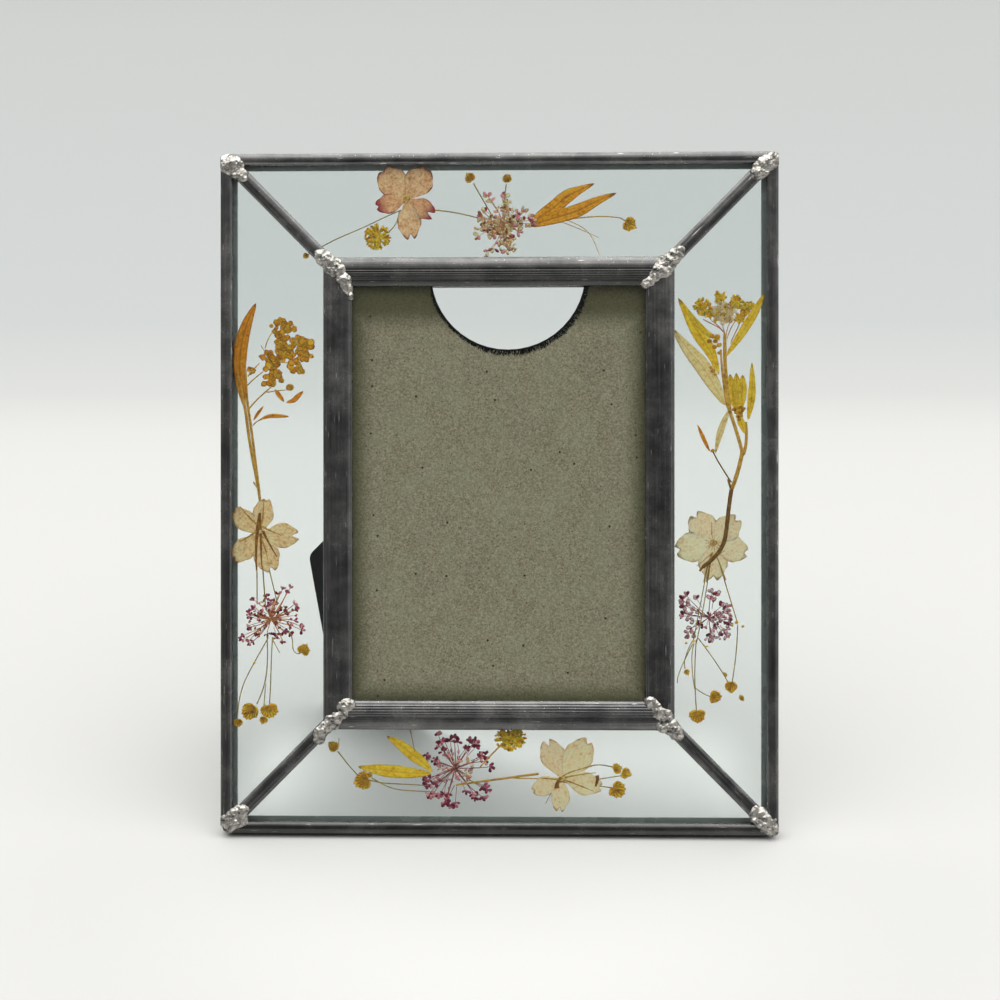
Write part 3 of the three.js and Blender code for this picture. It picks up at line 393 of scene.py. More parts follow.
def sheetGlass(name, tint, density):
    # drawn sheet glass: clear with a faint cool body colour and an almost flat ripple
    look = {"ripplesPerMm": 0.04, "dustPerMm": 3.0, "dustFrom": (0.72, 0.8), "dustRoughness": 0.12,
            "index": 1.52, "reliefStrength": 0.02, "reliefHeight": 0.5}
    finish, tree, bench = startFinish(name)
    ripple = addNode(tree, "ShaderNodeTexNoise", links={
        "Vector": bench, "Scale": look["ripplesPerMm"], "Detail": 2.0}).outputs["Fac"]
    dust = addNode(tree, "ShaderNodeTexNoise", links={
        "Vector": bench, "Scale": look["dustPerMm"], "Detail": 4.0}).outputs["Fac"]
    haze = addNode(tree, "ShaderNodeMapRange", links={
        "Value": dust, "From Min": look["dustFrom"][0], "From Max": look["dustFrom"][1],
        "To Min": 0.0, "To Max": look["dustRoughness"]})
    out = endFinish(tree, {"Base Color": linear("#ffffff"), "Transmission Weight": 1.0, "IOR": look["index"],
                           "Roughness": haze.outputs["Result"]}, ripple,
                    (look["reliefStrength"], look["reliefHeight"]))
    body = addNode(tree, "ShaderNodeVolumeAbsorption", links={"Color": linear(tint), "Density": density})
    tree.links.new(body.outputs["Volume"], out.inputs["Volume"])
    return finish


def pressedPulpboard():
    # grey pulp pressed into board: a soft felt of fibres with dark and pale flecks
    look = {"dark": "#756d59", "body": "#a1977f", "pale": "#c7bca0", "green": "#959a80", "greenShare": 0.22,
            "cloudsPerMm": 0.09, "feltPerMm": 1.9, "paintedShade": "#504d2e", "paintedShadeShare": 0.8,
            "reliefStrength": 0.5, "reliefHeight": 0.15}
    # flecks: (spacing, radius, share left out, colour)
    flecks = ((2.7, 0.1, 0.72, "#5f5b45"), (3.7, 0.07, 0.65, "#bdb594"), (11.0, 0.042, 0.6, "#2b281e"))
    window = {"halfWidth": 42.5, "halfHeight": 60.2, "shade": 7.0}
    finish, tree, bench = startFinish("pressedPulpboard")
    cloud = addNode(tree, "ShaderNodeTexNoise", links={
        "Vector": bench, "Scale": look["cloudsPerMm"], "Detail": 5.0, "Roughness": 0.6}).outputs["Fac"]
    felt = addNode(tree, "ShaderNodeTexNoise", links={
        "Vector": bench, "Scale": look["feltPerMm"], "Detail": 4.0, "Roughness": 0.7}).outputs["Fac"]
    blend = addNode(tree, "ShaderNodeMath", multiplyAdd, {0: felt, 1: 0.86, 2: 0.0})
    blend = addNode(tree, "ShaderNodeMath", multiplyAdd, {0: cloud, 1: 0.14, 2: blend.outputs[0]})
    colour = addNode(tree, "ShaderNodeValToRGB", {"stops": [
        (0.34, look["dark"]), (0.5, look["body"]), (0.66, look["pale"])]}, {
            "Fac": blend.outputs[0]}).outputs["Color"]
    drift = addNode(tree, "ShaderNodeMapRange", smooth, {
        "Value": cloud, "From Min": 0.42, "From Max": 0.62, "To Max": look["greenShare"]})
    colour = addNode(tree, "ShaderNodeMix", ofColours, {
        0: drift.outputs["Result"], 6: colour, 7: linear(look["green"])}).outputs[2]
    for spacing, radius, leftOut, shade in flecks:
        cell = addNode(tree, "ShaderNodeTexVoronoi", {"voronoi_dimensions": "2D"}, {
            "Vector": bench, "Scale": 1 / spacing})
        spot = addNode(tree, "ShaderNodeMapRange", smooth, {
            "Value": cell.outputs["Distance"], "From Min": radius, "From Max": radius * 0.4})
        chance = addNode(tree, "ShaderNodeSeparateColor", links={"Color": cell.outputs["Color"]})
        kept = addNode(tree, "ShaderNodeMath", {"operation": "GREATER_THAN"}, {
            0: chance.outputs[0], 1: leftOut})
        spot = addNode(tree, "ShaderNodeMath", multiply, {0: spot.outputs["Result"], 1: kept.outputs[0]})
        colour = addNode(tree, "ShaderNodeMix", ofColours, {
            0: spot.outputs[0], 6: colour, 7: linear(shade)}).outputs[2]
    # painted shadow of the came, darkest where the board goes under the came and along its top edge
    axes = addNode(tree, "ShaderNodeSeparateXYZ", links={"Vector": bench})
    edges = []
    for axis, half in (("X", window["halfWidth"]), ("Y", window["halfHeight"])):
        away = addNode(tree, "ShaderNodeMath", {"operation": "ABSOLUTE"}, {0: axes.outputs[axis]})
        edges.append(addNode(tree, "ShaderNodeMath", {"operation": "SUBTRACT"}, {
            0: away.outputs[0], 1: half}).outputs[0])
    upper = addNode(tree, "ShaderNodeMath", {"operation": "SUBTRACT"}, {
        0: axes.outputs["Y"], 1: window["halfHeight"] - window["shade"]}).outputs[0]
    edges[1] = addNode(tree, "ShaderNodeMath", maximum, {0: edges[1], 1: upper}).outputs[0]
    nearest = addNode(tree, "ShaderNodeMath", maximum, {0: edges[0], 1: edges[1]})
    paintedShade = addNode(tree, "ShaderNodeMapRange", smooth, {
        "Value": nearest.outputs[0], "From Min": -window["shade"], "From Max": 1.0,
        "To Max": look["paintedShadeShare"]})
    colour = addNode(tree, "ShaderNodeMix", ofColours, {
        0: paintedShade.outputs["Result"], 6: colour, 7: linear(look["paintedShade"])}).outputs[2]
    endFinish(tree, {"Base Color": colour, "Roughness": 0.92, "Specular IOR Level": 0.25}, felt,
              (look["reliefStrength"], look["reliefHeight"]))
    return finish


def flockedVelvet():
    # short black flock: soaks up the light, greyer where the pile is seen edge on, with stray lint
    look = {"pit": "#010202", "tip": "#070908", "lint": "#c9cbc6", "haze": "#59605e", "pilePerMm": 3.2,
            "brushedPerMm": 0.06, "lintPerMm": 0.7, "lintLeftOut": 0.62,
            "reliefStrength": 0.9, "reliefHeight": 0.3}
    finish, tree, bench = startFinish("flockedVelvet")
    pile = addNode(tree, "ShaderNodeTexNoise", links={
        "Vector": bench, "Scale": look["pilePerMm"], "Detail": 5.0, "Roughness": 0.75}).outputs["Fac"]
    brushed = addNode(tree, "ShaderNodeTexNoise", links={
        "Vector": bench, "Scale": look["brushedPerMm"], "Detail": 3.0}).outputs["Fac"]
    blend = addNode(tree, "ShaderNodeMath", multiplyAdd, {0: brushed, 1: 0.5, 2: 0.0})
    blend = addNode(tree, "ShaderNodeMath", multiplyAdd, {0: pile, 1: 0.5, 2: blend.outputs[0]})
    colour = addNode(tree, "ShaderNodeValToRGB", {"stops": [
        (0.35, look["pit"]), (0.65, look["tip"])]}, {"Fac": blend.outputs[0]}).outputs["Color"]
    cell = addNode(tree, "ShaderNodeTexVoronoi", links={"Vector": bench, "Scale": look["lintPerMm"]})
    lint = addNode(tree, "ShaderNodeMapRange", smooth, {
        "Value": cell.outputs["Distance"], "From Min": 0.1, "From Max": 0.05})
    chance = addNode(tree, "ShaderNodeSeparateColor", links={"Color": cell.outputs["Color"]})
    kept = addNode(tree, "ShaderNodeMath", {"operation": "GREATER_THAN"}, {
        0: chance.outputs[1], 1: look["lintLeftOut"]})
    lint = addNode(tree, "ShaderNodeMath", multiply, {0: lint.outputs["Result"], 1: kept.outputs[0]})
    colour = addNode(tree, "ShaderNodeMix", ofColours, {
        0: lint.outputs[0], 6: colour, 7: linear(look["lint"])}).outputs[2]
    endFinish(tree, {"Base Color": colour, "Roughness": 1.0, "Specular IOR Level": 0.04,
                     "Sheen Weight": 0.02, "Sheen Roughness": 0.4, "Sheen Tint": linear(look["haze"])},
              pile, (look["reliefStrength"], look["reliefHeight"]))
    return finish


def zincPlatedSteel():
    # stamped strip steel with a thin zinc plate: satin and a little cloudy, with fine rolling lines
    look = {"dull": "#6f6d68", "body": "#a09f9b", "bright": "#bdbcb8", "cloudsPerMm": 0.35,
            "rollScale": (5.0, 0.25, 1.0), "reliefStrength": 0.2, "reliefHeight": 0.05}
    finish, tree, bench = startFinish("zincPlatedSteel")
    cloud = addNode(tree, "ShaderNodeTexNoise", links={
        "Vector": bench, "Scale": look["cloudsPerMm"], "Detail": 5.0, "Roughness": 0.65}).outputs["Fac"]
    rolled = addNode(tree, "ShaderNodeMapping", links={"Vector": bench, "Scale": look["rollScale"]})
    lines = addNode(tree, "ShaderNodeTexNoise", links={
        "Vector": rolled.outputs["Vector"], "Scale": 1.0, "Detail": 3.0}).outputs["Fac"]
    colour = addNode(tree, "ShaderNodeValToRGB", {"stops": [
        (0.3, look["dull"]), (0.5, look["body"]), (0.7, look["bright"])]}, {"Fac": cloud}).outputs["Color"]
    rough = addNode(tree, "ShaderNodeMapRange", links={
        "Value": lines, "From Min": 0.3, "From Max": 0.7, "To Min": 0.28, "To Max": 0.48})
    endFinish(tree, {"Base Color": colour, "Metallic": 1.0, "Roughness": rough.outputs["Result"]}, lines,
              (look["reliefStrength"], look["reliefHeight"]))
    return finish


# Dried and pressed plants: papery, with cell grain, veins along the piece and darker rims.
def driedPlant(name, body, pale, rim, vein, rimWidth, veins, veinShare, tip=0.0, grain=1.3, midrib=0.0,
               bare=1.0, depth=0.035):
    # the edges of the veins, the midrib and the rim, as shares of the piece's half width or length
    look = {"blotchesPerMm": 0.4, "veinEdge": (0.14, 0.02), "ribEdge": (0.14, 0.04), "rimEdge": (1.17, 1.19),
            "tipShade": 0.85, "brightness": 1.17, "seeThrough": 0.85,
            "reliefStrength": 0.6, "reliefHeight": 0.08}
    finish, tree, bench = startFinish(name)
    lay = addNode(tree, "ShaderNodeAttribute", {"attribute_name": "lay"}).outputs["Vector"]
    axes = addNode(tree, "ShaderNodeSeparateXYZ", links={"Vector": lay})
    cells = addNode(tree, "ShaderNodeTexNoise", links={
        "Vector": bench, "Scale": grain, "Detail": 4.0, "Roughness": 0.75}).outputs["Fac"]
    blotch = addNode(tree, "ShaderNodeTexNoise", links={
        "Vector": bench, "Scale": look["blotchesPerMm"], "Detail": 3.0, "Roughness": 0.6}).outputs["Fac"]
    shade = addNode(tree, "ShaderNodeMath", multiplyAdd, {0: cells, 1: 0.65, 2: 0.0})
    shade = addNode(tree, "ShaderNodeMath", multiplyAdd, {0: blotch, 1: 0.35, 2: shade.outputs[0]})
    colour = addNode(tree, "ShaderNodeValToRGB", {"stops": [
        (0.37, vein), (0.48, body), (0.62, pale)]}, {"Fac": shade.outputs[0]}).outputs["Color"]
    # veins fan out from the base, bent a little by the grain
    spread = addNode(tree, "ShaderNodeMath", multiplyAdd, {0: axes.outputs["Y"], 1: veins, 2: 0.0})
    bent = addNode(tree, "ShaderNodeMath", multiplyAdd, {0: blotch, 1: 0.9, 2: spread.outputs[0]})
    fold = addNode(tree, "ShaderNodeMath", {"operation": "PINGPONG"}, {0: bent.outputs[0], 1: 0.5})
    line = addNode(tree, "ShaderNodeMapRange", smooth, {
        "Value": fold.outputs[0], "From Min": look["veinEdge"][0], "From Max": look["veinEdge"][1],
        "To Max": veinShare})
    colour = addNode(tree, "ShaderNodeMix", ofColours, {
        0: line.outputs["Result"], 6: colour, 7: linear(vein)}).outputs[2]
    side = addNode(tree, "ShaderNodeMath", {"operation": "ABSOLUTE"}, {0: axes.outputs["Y"]})
    if midrib:
        rib = addNode(tree, "ShaderNodeMapRange", smooth, {
            "Value": side.outputs[0], "From Min": look["ribEdge"][0], "From Max": look["ribEdge"][1],
            "To Max": midrib})
        colour = addNode(tree, "ShaderNodeMix", ofColours, {
            0: rib.outputs["Result"], 6: colour, 7: linear(rim)}).outputs[2]
    # the rim dries darkest
    pastBase = addNode(tree, "ShaderNodeMapRange", smooth, {
        "Value": axes.outputs["X"], "From Min": 0.2, "From Max": 0.6, "To Min": bare})
    side = addNode(tree, "ShaderNodeMath", multiply, {0: side.outputs[0], 1: pastBase.outputs["Result"]})
    edge = addNode(tree, "ShaderNodeMath", maximum, {0: side.outputs[0], 1: axes.outputs["X"]})
    ragged = addNode(tree, "ShaderNodeMath", multiplyAdd, {0: blotch, 1: 0.35, 2: edge.outputs[0]})
    dark = addNode(tree, "ShaderNodeMapRange", smooth, {
        "Value": ragged.outputs[0], "From Min": look["rimEdge"][0] - rimWidth, "From Max": look["rimEdge"][1]})
    colour = addNode(tree, "ShaderNodeMix", ofColours, {
        0: dark.outputs["Result"], 6: colour, 7: linear(rim)}).outputs[2]
    if tip:
        point = addNode(tree, "ShaderNodeMapRange", smooth, {
            "Value": axes.outputs["X"], "From Min": 1 - tip, "From Max": 1.0, "To Max": look["tipShade"]})
        colour = addNode(tree, "ShaderNodeMix", ofColours, {
            0: point.outputs["Result"], 6: colour, 7: linear(rim)}).outputs[2]
    # each piece is a little lighter or darker than the next
    bright = addNode(tree, "ShaderNodeMath", {"operation": "ADD"}, {
        0: axes.outputs["Z"], 1: look["brightness"]})
    tinted = addNode(tree, "ShaderNodeHueSaturation", links={"Value": bright.outputs[0], "Color": colour})
    height = addNode(tree, "ShaderNodeMath", multiplyAdd, {0: line.outputs["Result"], 1: 0.6, 2: cells})
    rough = addNode(tree, "ShaderNodeMapRange", links={
        "Value": cells, "From Min": 0.3, "From Max": 0.7, "To Min": 0.55, "To Max": 0.8})
    endFinish(tree, {"Base Color": tinted.outputs["Color"], "Roughness": rough.outputs["Result"],
                     "Specular IOR Level": 0.3, "Subsurface Weight": look["seeThrough"],
                     "Subsurface Radius": (1, 1, 1), "Subsurface Scale": depth * mm},
              height.outputs[0], (look["reliefStrength"], look["reliefHeight"]))
    return finish


finishes = {
    "came": drawnLeadCame(),
    "solder": meltedSolder(),
    "borderGlass": sheetGlass("borderGlass", "#98f6e2", 28.0),
    "windowGlass": sheetGlass("windowGlass", "#a8f4e0", 28.0),
    "board": pressedPulpboard(),
    "velvet": flockedVelvet(),
    "steel": zincPlatedSteel(),
}

# of each dried finish: body, pale, rim and vein colours, width of the rim, how many veins, how much
# they show, and what else sets it apart
driedShades = {
    # verbena petals gone tan, each flower its own shade
    "petalMauve": ("#e6b88c", "#f8dcb6", "#8d5144", "#b98b5a", 0.12, 4, 0.3, {"bare": 0.7, "depth": 0.08}),
    "petalCrimson": ("#dcaa7c", "#f2cea2", "#9c2a3c", "#b57258", 0.16, 4, 0.3, {"tip": 0.42, "bare": 0.7}),
    "petalTan": ("#ecc898", "#fae2b8", "#a8844f", "#c89a60", 0.08, 3, 0.35, {"bare": 0.7, "depth": 0.08}),
    "petalBeige": ("#f4d8b4", "#fbe6cc", "#a8946a", "#dcb88c", 0.1, 4, 0.3, {"bare": 0.7, "depth": 0.08}),
    "petalWarm": ("#f5d4ac", "#fbe0c4", "#bf9866", "#d8ac7a", 0.07, 4, 0.3, {"bare": 0.7, "depth": 0.08}),
    "petalHeart": ("#b98f3f", "#dcb556", "#6d4d26", "#8a6229", 0.2, 3, 0.5, {}),
    "petalBruise": ("#8a5a20", "#b98331", "#553514", "#6b4418", 0.2, 3, 0.5, {}),
    # leaves
    "leafAmber": ("#e8a41c", "#f6be38", "#6e3c18", "#a66a0c", 0.07, 3, 0.5, {
        "tip": 0.16, "grain": 1.3, "midrib": 0.5}),
    "leafYellow": ("#eac224", "#f6da56", "#8f5f1e", "#bd9418", 0.06, 3, 0.35, {
        "tip": 0.12, "grain": 1.1, "midrib": 0.35}),
    "leafKhaki": ("#e4cc92", "#f3e0b2", "#a98d4e", "#c6ab69", 0.07, 4, 0.4, {
        "tip": 0.08, "grain": 1.1, "midrib": 0.35, "depth": 0.08}),
    "leafGold": ("#d88f14", "#eaa828", "#744208", "#9b600c", 0.08, 3, 0.5, {
        "tip": 0.1, "grain": 1.2, "midrib": 0.5}),
    # stems
    "stemOlive": ("#9a8546", "#b8a25c", "#6b5a2e", "#6f5f2a", 0.12, 5, 0.5, {}),
    "stemBrown": ("#7c551f", "#9a7430", "#573a17", "#5e4119", 0.12, 5, 0.5, {}),
    "stemStraw": ("#c7993c", "#dfb75c", "#8a6a22", "#94700f", 0.12, 5, 0.5, {}),
    "rayTan": ("#bd7a50", "#d8a074", "#6d3524", "#83402a", 0.12, 5, 0.5, {}),
    "rayMaroon": ("#8a4046", "#b87c68", "#5a1c2c", "#642434", 0.12, 5, 0.5, {}),
    # lace florets
    "floretMaroon": ("#7d1a3c", "#a83a5a", "#3f0a1f", "#4f0f28", 0.25, 3, 0.4, {}),
    "floretVeined": ("#dca6ae", "#f6dcd6", "#5a1230", "#9c3f60", 0.5, 3, 0.3, {}),
    "floretRose": ("#b03f6b", "#d67f9a", "#7a1c45", "#8f2c55", 0.35, 3, 0.4, {}),
    "floretPink": ("#dd9296", "#f2c4b8", "#ad4565", "#c06878", 0.35, 3, 0.4, {}),
    "floretPeach": ("#e3a47e", "#f4cda9", "#b8654a", "#c47c54", 0.3, 3, 0.4, {}),
    "floretCream": ("#f2d29a", "#fdecc6", "#8f5f33", "#c2954f", 0.3, 3, 0.3, {}),
    "floretRust": ("#96512a", "#b9773f", "#5c2a1a", "#68351e", 0.25, 3, 0.4, {}),
    # buds, grains and blossoms
    "budGold": ("#f6ba1e", "#fcd244", "#a06410", "#ab6e0c", 0.14, 2, 0.5, {}),
    "budBrown": ("#ba861e", "#dcaa34", "#6b4312", "#6b430e", 0.2, 2, 0.6, {}),
    "budOlive": ("#c2b024", "#dac840", "#6f6212", "#7d6f12", 0.14, 2, 0.5, {}),
    "grainYellow": ("#e2b824", "#f4d458", "#a37a1c", "#b48a14", 0.1, 2, 0.3, {}),
    "grainPale": ("#dcbf8a", "#f2dfb4", "#a98a55", "#b7925a", 0.1, 2, 0.3, {}),
    "blossomOrange": ("#f8b424", "#fcc844", "#8f5208", "#c07c10", 0.3, 3, 0.4, {"depth": 0.08}),
    "blossomAmber": ("#e69a16", "#f6b430", "#824a08", "#b06c0c", 0.3, 3, 0.4, {"depth": 0.08}),
}
for name, (*columns, marks) in driedShades.items():
    finishes[name] = driedPlant(name, *columns, **marks)
print("finishes mixed:", len(finishes))


camera = {"distance": 650, "across": 0.44, "up": -1.9, "pan": 1.84, "lens": 80.2, "sensor": 36}
cameraData = bpy.data.cameras.new("camera")
cameraData.lens, cameraData.clip_start, cameraData.clip_end = camera["lens"], 0.01, 30
cameraObject = bpy.data.objects.new("camera", cameraData)
bpy.context.collection.objects.link(cameraObject)
viewpoint = Vector((camera["across"], camera["up"], camera["distance"])) * mm
pan = math.radians(camera["pan"])
cameraData.shift_x = math.tan(pan) * camera["lens"] / camera["sensor"]
cameraObject.matrix_world = standing @ Matrix.Translation(viewpoint) @ Matrix.Rotation(pan, 4, "Y")
bpy.context.scene.camera = cameraObject


cameWork = {
    "halfWidth": cadHigh.x / mm, "halfHeight": 99.0, "cornerRadius": 3.0,
    "frontLip": 3.4, "rearLip": 4.6, "outerWeb": 1.4, "outerCrown": 3.4,
    "windowHalfWidth": 42.5, "windowHalfHeight": 60.2, "innerWidth": 8.5, "innerWeb": 1.3, "innerCrown": 4.0,
    "diagonalWidth": 4.0, "diagonalWeb": 1.2, "diagonalCrown": 3.3,
    "channel": 2.25, "lipEdge": 2.5, "rings": 88, "dent": 0.055, "grooveDepth": 0.075, "grooveWidth": 0.17,
    "innerFullness": 0.6, "outerFullness": 0.7, "frontSteps": 18, "rearSteps": 14, "innerSteps": 80,
    "diagonalSteps": 20, "diagonalRings": 28, "diagonalGrooves": (0.35,), "waves": (11, 3.2),
    "grooves": {"top": (0.12, -0.05, -0.2, -0.36, -0.55), "bottom": (-0.74, -0.56, -0.36, -0.18, 0.04),
                "left": (-0.84, 0.8), "right": (-0.84, 0.84)},
}


def crownArc(start, stop, edge, crown, steps, fullness):
    points = []
    for i in range(steps + 1):
        turn = math.pi * i / steps
        across = (start + stop) / 2 - (stop - start) / 2 * math.cos(turn)
        points.append((across, edge + (crown - edge) * math.sin(turn) ** fullness))
    return points


# U section for the outside: closed at 0, lips reaching inwards
def edgeSection():
    work = cameWork
    channel, web, edge, crown = work["channel"], work["outerWeb"], work["lipEdge"], work["outerCrown"]
    return [(-web, channel), (-work["frontLip"], channel),
            *crownArc(-work["frontLip"], 0, edge, crown, work["frontSteps"], work["outerFullness"]),
            *crownArc(0, -work["rearLip"], -edge, -crown, work["rearSteps"], work["outerFullness"]),
            (-work["rearLip"], -channel), (-web, -channel)]


# H section: a grooved arch in front, a plain one behind and a channel at each side
def middleSection(width, web, crown, steps, grooves):
    work = cameWork
    lip, half, channel, edge = width / 2, web / 2, work["channel"], work["lipEdge"]
    front = []
    for across, depth in crownArc(-lip, lip, edge, crown, steps, work["innerFullness"]):
        for groove in grooves:
            off = (across - groove * lip) / work["grooveWidth"]
            depth -= work["grooveDepth"] * math.exp(-off * off)
        front.append((across, depth))
    rear = crownArc(lip, -lip, -edge, -crown, work["rearSteps"], work["innerFullness"])
    return [(-half, channel), (-lip, channel), *front, (lip, channel), (half, channel), (half, -channel),
            (lip, -channel), *rear, (-lip, -channel), (-half, -channel)]


# A came is its section run between two ends; ends(across, depth) gives how far it reaches either way.
def makeCame(name, section, centre, outward, ends, rings, seed):
    alongAxis = (outward[1], -outward[0])
    around = [0.0]
    for (a, b), (c, d) in zip(section, section[1:]):
        around.append(around[-1] + math.hypot(c - a, d - b))
    corner = cameWork["cornerRadius"]
    inset = (cameWork["halfWidth"] - corner, cameWork["halfHeight"] - corner)

    def place(t, side):
        across, depth = section[side]
        start, stop = ends(across, depth)
        along = start + (stop - start) * t
        u = centre[0] + outward[0] * across + alongAxis[0] * along
        v = centre[1] + outward[1] * across + alongAxis[1] * along
        long, short = cameWork["waves"]
        wave = noise.noise(Vector((u / long, v / long, seed)))
        wave += 0.5 * noise.noise(Vector((u / short, v / short, seed)))
        if abs(depth) > cameWork["channel"]:
            depth += math.copysign(cameWork["dent"], depth) * wave
        over = (abs(u) - inset[0], abs(v) - inset[1])
        if over[0] > 0 and over[1] > 0 and math.hypot(*over) > corner:
            shrink = corner / math.hypot(*over)
            u = math.copysign(inset[0] + over[0] * shrink, u)
            v = math.copysign(inset[1] + over[1] * shrink, v)
        return (u, v, depth), (along + seed * 37, around[side], seed)

    came = rod(name + "_lead", rings, len(section), place, finishes["came"])
    only(came)
    bpy.ops.object.shade_smooth_by_angle(angle=math.radians(50))
    settle(came, "frame", "lead_came", name)
    for vertex in came.data.vertices:  # filed flat where the frame stands
        vertex.co.z = max(vertex.co.z, 0)


def makeCames():
    work = cameWork
    outer, inner = (work["halfWidth"], work["halfHeight"]), (work["windowHalfWidth"], work["windowHalfHeight"])
    outward = {"top": (0, 1), "right": (1, 0), "bottom": (0, -1), "left": (-1, 0)}
    lip = work["innerWidth"] / 2
    for seed, (side, axis) in enumerate(outward.items()):
        reach = outer[0] if axis[0] == 0 else outer[1]
        offset = outer[1] if axis[0] == 0 else outer[0]
        makeCame(f"outer_came_{side}", edgeSection(), (axis[0] * offset, axis[1] * offset), axis,
                 lambda across, depth: (-(reach + across), reach + across), work["rings"], seed + 1)
        reach = (inner[0] if axis[0] == 0 else inner[1]) + lip
        offset = (inner[1] if axis[0] == 0 else inner[0]) + lip
        section = middleSection(work["innerWidth"], work["innerWeb"], work["innerCrown"], work["innerSteps"],
                                work["grooves"][side])
        makeCame(f"inner_came_{side}", section, (axis[0] * offset, axis[1] * offset), axis,
                 lambda across, depth: (-(reach + across), reach + across), work["rings"], seed + 5)
    start = [half + work["innerWidth"] for half in inner]
    end = [half - work["rearLip"] for half in outer]
    run = [b - a for a, b in zip(start, end)]
    length = math.hypot(*run)
    section = middleSection(work["diagonalWidth"], work["diagonalWeb"], work["diagonalCrown"],
                            work["diagonalSteps"], work["diagonalGrooves"])
    reachOn = (work["rearLip"] - work["frontLip"]) * math.sqrt(2)
    corners = {"top_right": (1, 1), "top_left": (-1, 1), "bottom_left": (-1, -1), "bottom_right": (1, -1)}
    for seed, (name, (x, y)) in enumerate(corners.items()):
        along = (x * run[0] / length, y * run[1] / length)
        axis = (-along[1], along[0])
        makeCame(f"diagonal_came_{name}", section, (x * start[0], y * start[1]), axis,
                 lambda across, depth: (-abs(across), length - abs(across) + (reachOn if depth > 0 else 0)),
                 work["diagonalRings"], seed + 9)


makeCames()
print("cames drawn and mitred")


# each joint is a run of molten lumps, given as (across, up, width) in millimetres
solderWork = {
    "voxel": 0.17, "swell": 0.95, "swellSize": 2.4, "crumb": 0.26, "crumbSize": 0.85, "lumpsBetween": 4,
    "lumpRadius": (0.38, 0.52), "scatter": 0.16, "sunk": 0.55, "lumpHeight": (0.85, 1.15),
    "lumpStretch": (0.85, 1.2), "levelAbove": 0.85, "levelled": 0.8, "outerFuller": 1.2, "rearInset": 0.999,
    "rearWidth": 0.8, "rearLower": 0.45,
    "joints": {
        "inner_top_left": [
            (-52.2, 70.0, 3.0), (-50.2, 68.2, 4.6), (-47.8, 66.0, 5.2), (-45.4, 62.4, 4.4),
            (-43.4, 58.6, 2.4), (-42.6, 56.2, 1.2)],
        "inner_top_right": [
            (52.4, 70.2, 3.0), (50.2, 67.9, 4.8), (47.4, 65.2, 5.2), (44.6, 62.4, 4.4), (42.9, 60.2, 2.6)],
        "inner_bottom_left": [
            (-52.6, -70.6, 3.2), (-50.2, -68.2, 4.2), (-47.2, -65.2, 4.4), (-44.4, -62.2, 4.6),
            (-42.8, -60.6, 3.0)],
        "inner_bottom_right": [
            (52.2, -70.4, 3.2), (50.2, -68.4, 4.6), (47.6, -65.0, 4.6), (45.2, -62.0, 4.0),
            (43.4, -58.8, 2.4)],
        "outer_top_left": [
            (-79.4, 96.6, 3.4), (-77.6, 96.0, 5.0), (-76.2, 94.4, 4.4), (-74.2, 92.2, 2.6),
            (-77.6, 92.9, 2.4)],
        "outer_top_right": [
            (79.3, 96.2, 3.6), (77.5, 96.3, 4.8), (76.2, 94.8, 4.6), (74.0, 92.6, 2.8), (78.9, 93.2, 2.4)],
        "outer_bottom_left": [
            (-79.2, -96.4, 3.6), (-77.4, -95.9, 5.0), (-76.0, -94.4, 4.6), (-73.6, -92.4, 2.8),
            (-78.6, -92.8, 2.6)],
        "outer_bottom_right": [
            (79.4, -96.6, 3.4), (77.5, -95.8, 4.8), (76.0, -94.2, 4.6), (73.8, -92.2, 2.8),
            (74.6, -96.6, 2.4)]}}


def solderJoint(name, run, crown, face, seed):
    work = solderWork
    dice = random.Random(seed)
    lumps = []
    for (u0, v0, width0), (u1, v1, width1) in zip(run, run[1:]):
        for step in range(work["lumpsBetween"]):
            share = step / work["lumpsBetween"]
            width = width0 + (width1 - width0) * share
            radius = width * dice.uniform(*work["lumpRadius"])
            u = u0 + (u1 - u0) * share + dice.uniform(-work["scatter"], work["scatter"]) * width
            v = v0 + (v1 - v0) * share + dice.uniform(-work["scatter"], work["scatter"]) * width
            bpy.ops.object.select_all(action="DESELECT")
            bpy.ops.mesh.primitive_ico_sphere_add(
                subdivisions=3, radius=mm, location=Vector((u, v, face * (crown - work["sunk"]))) * mm)
            lump = bpy.context.object
            height = dice.uniform(*work["lumpHeight"])
            lump.scale = (radius * dice.uniform(*work["lumpStretch"]),
                          radius * dice.uniform(*work["lumpStretch"]), height)
            lumps.append(lump)
    joint = joined(name, lumps)
    only(joint)
    bpy.ops.object.transform_apply(location=True, rotation=True, scale=True)
    modified(joint, "REMESH", mode="VOXEL", voxel_size=work["voxel"] * mm)
    modified(joint, "SMOOTH", factor=0.7, iterations=9)
    for size, strength in (("swellSize", "swell"), ("crumbSize", "crumb")):
        cloud = bpy.data.textures.new(size, "CLOUDS")
        cloud.noise_scale, cloud.noise_depth = work[size] * mm, 2
        modified(joint, "DISPLACE", texture=cloud, texture_coords="LOCAL",
                 strength=work[strength] * mm, mid_level=0.5)
    joint.data.materials.append(finishes["solder"])
    top = (crown + work["levelAbove"]) * mm
    for vertex in joint.data.vertices:  # molten metal levels off
        over = face * vertex.co.z - top
        if over > 0:
            vertex.co.z -= face * over * work["levelled"]
    only(joint)
    bpy.ops.object.shade_smooth()
    return joint


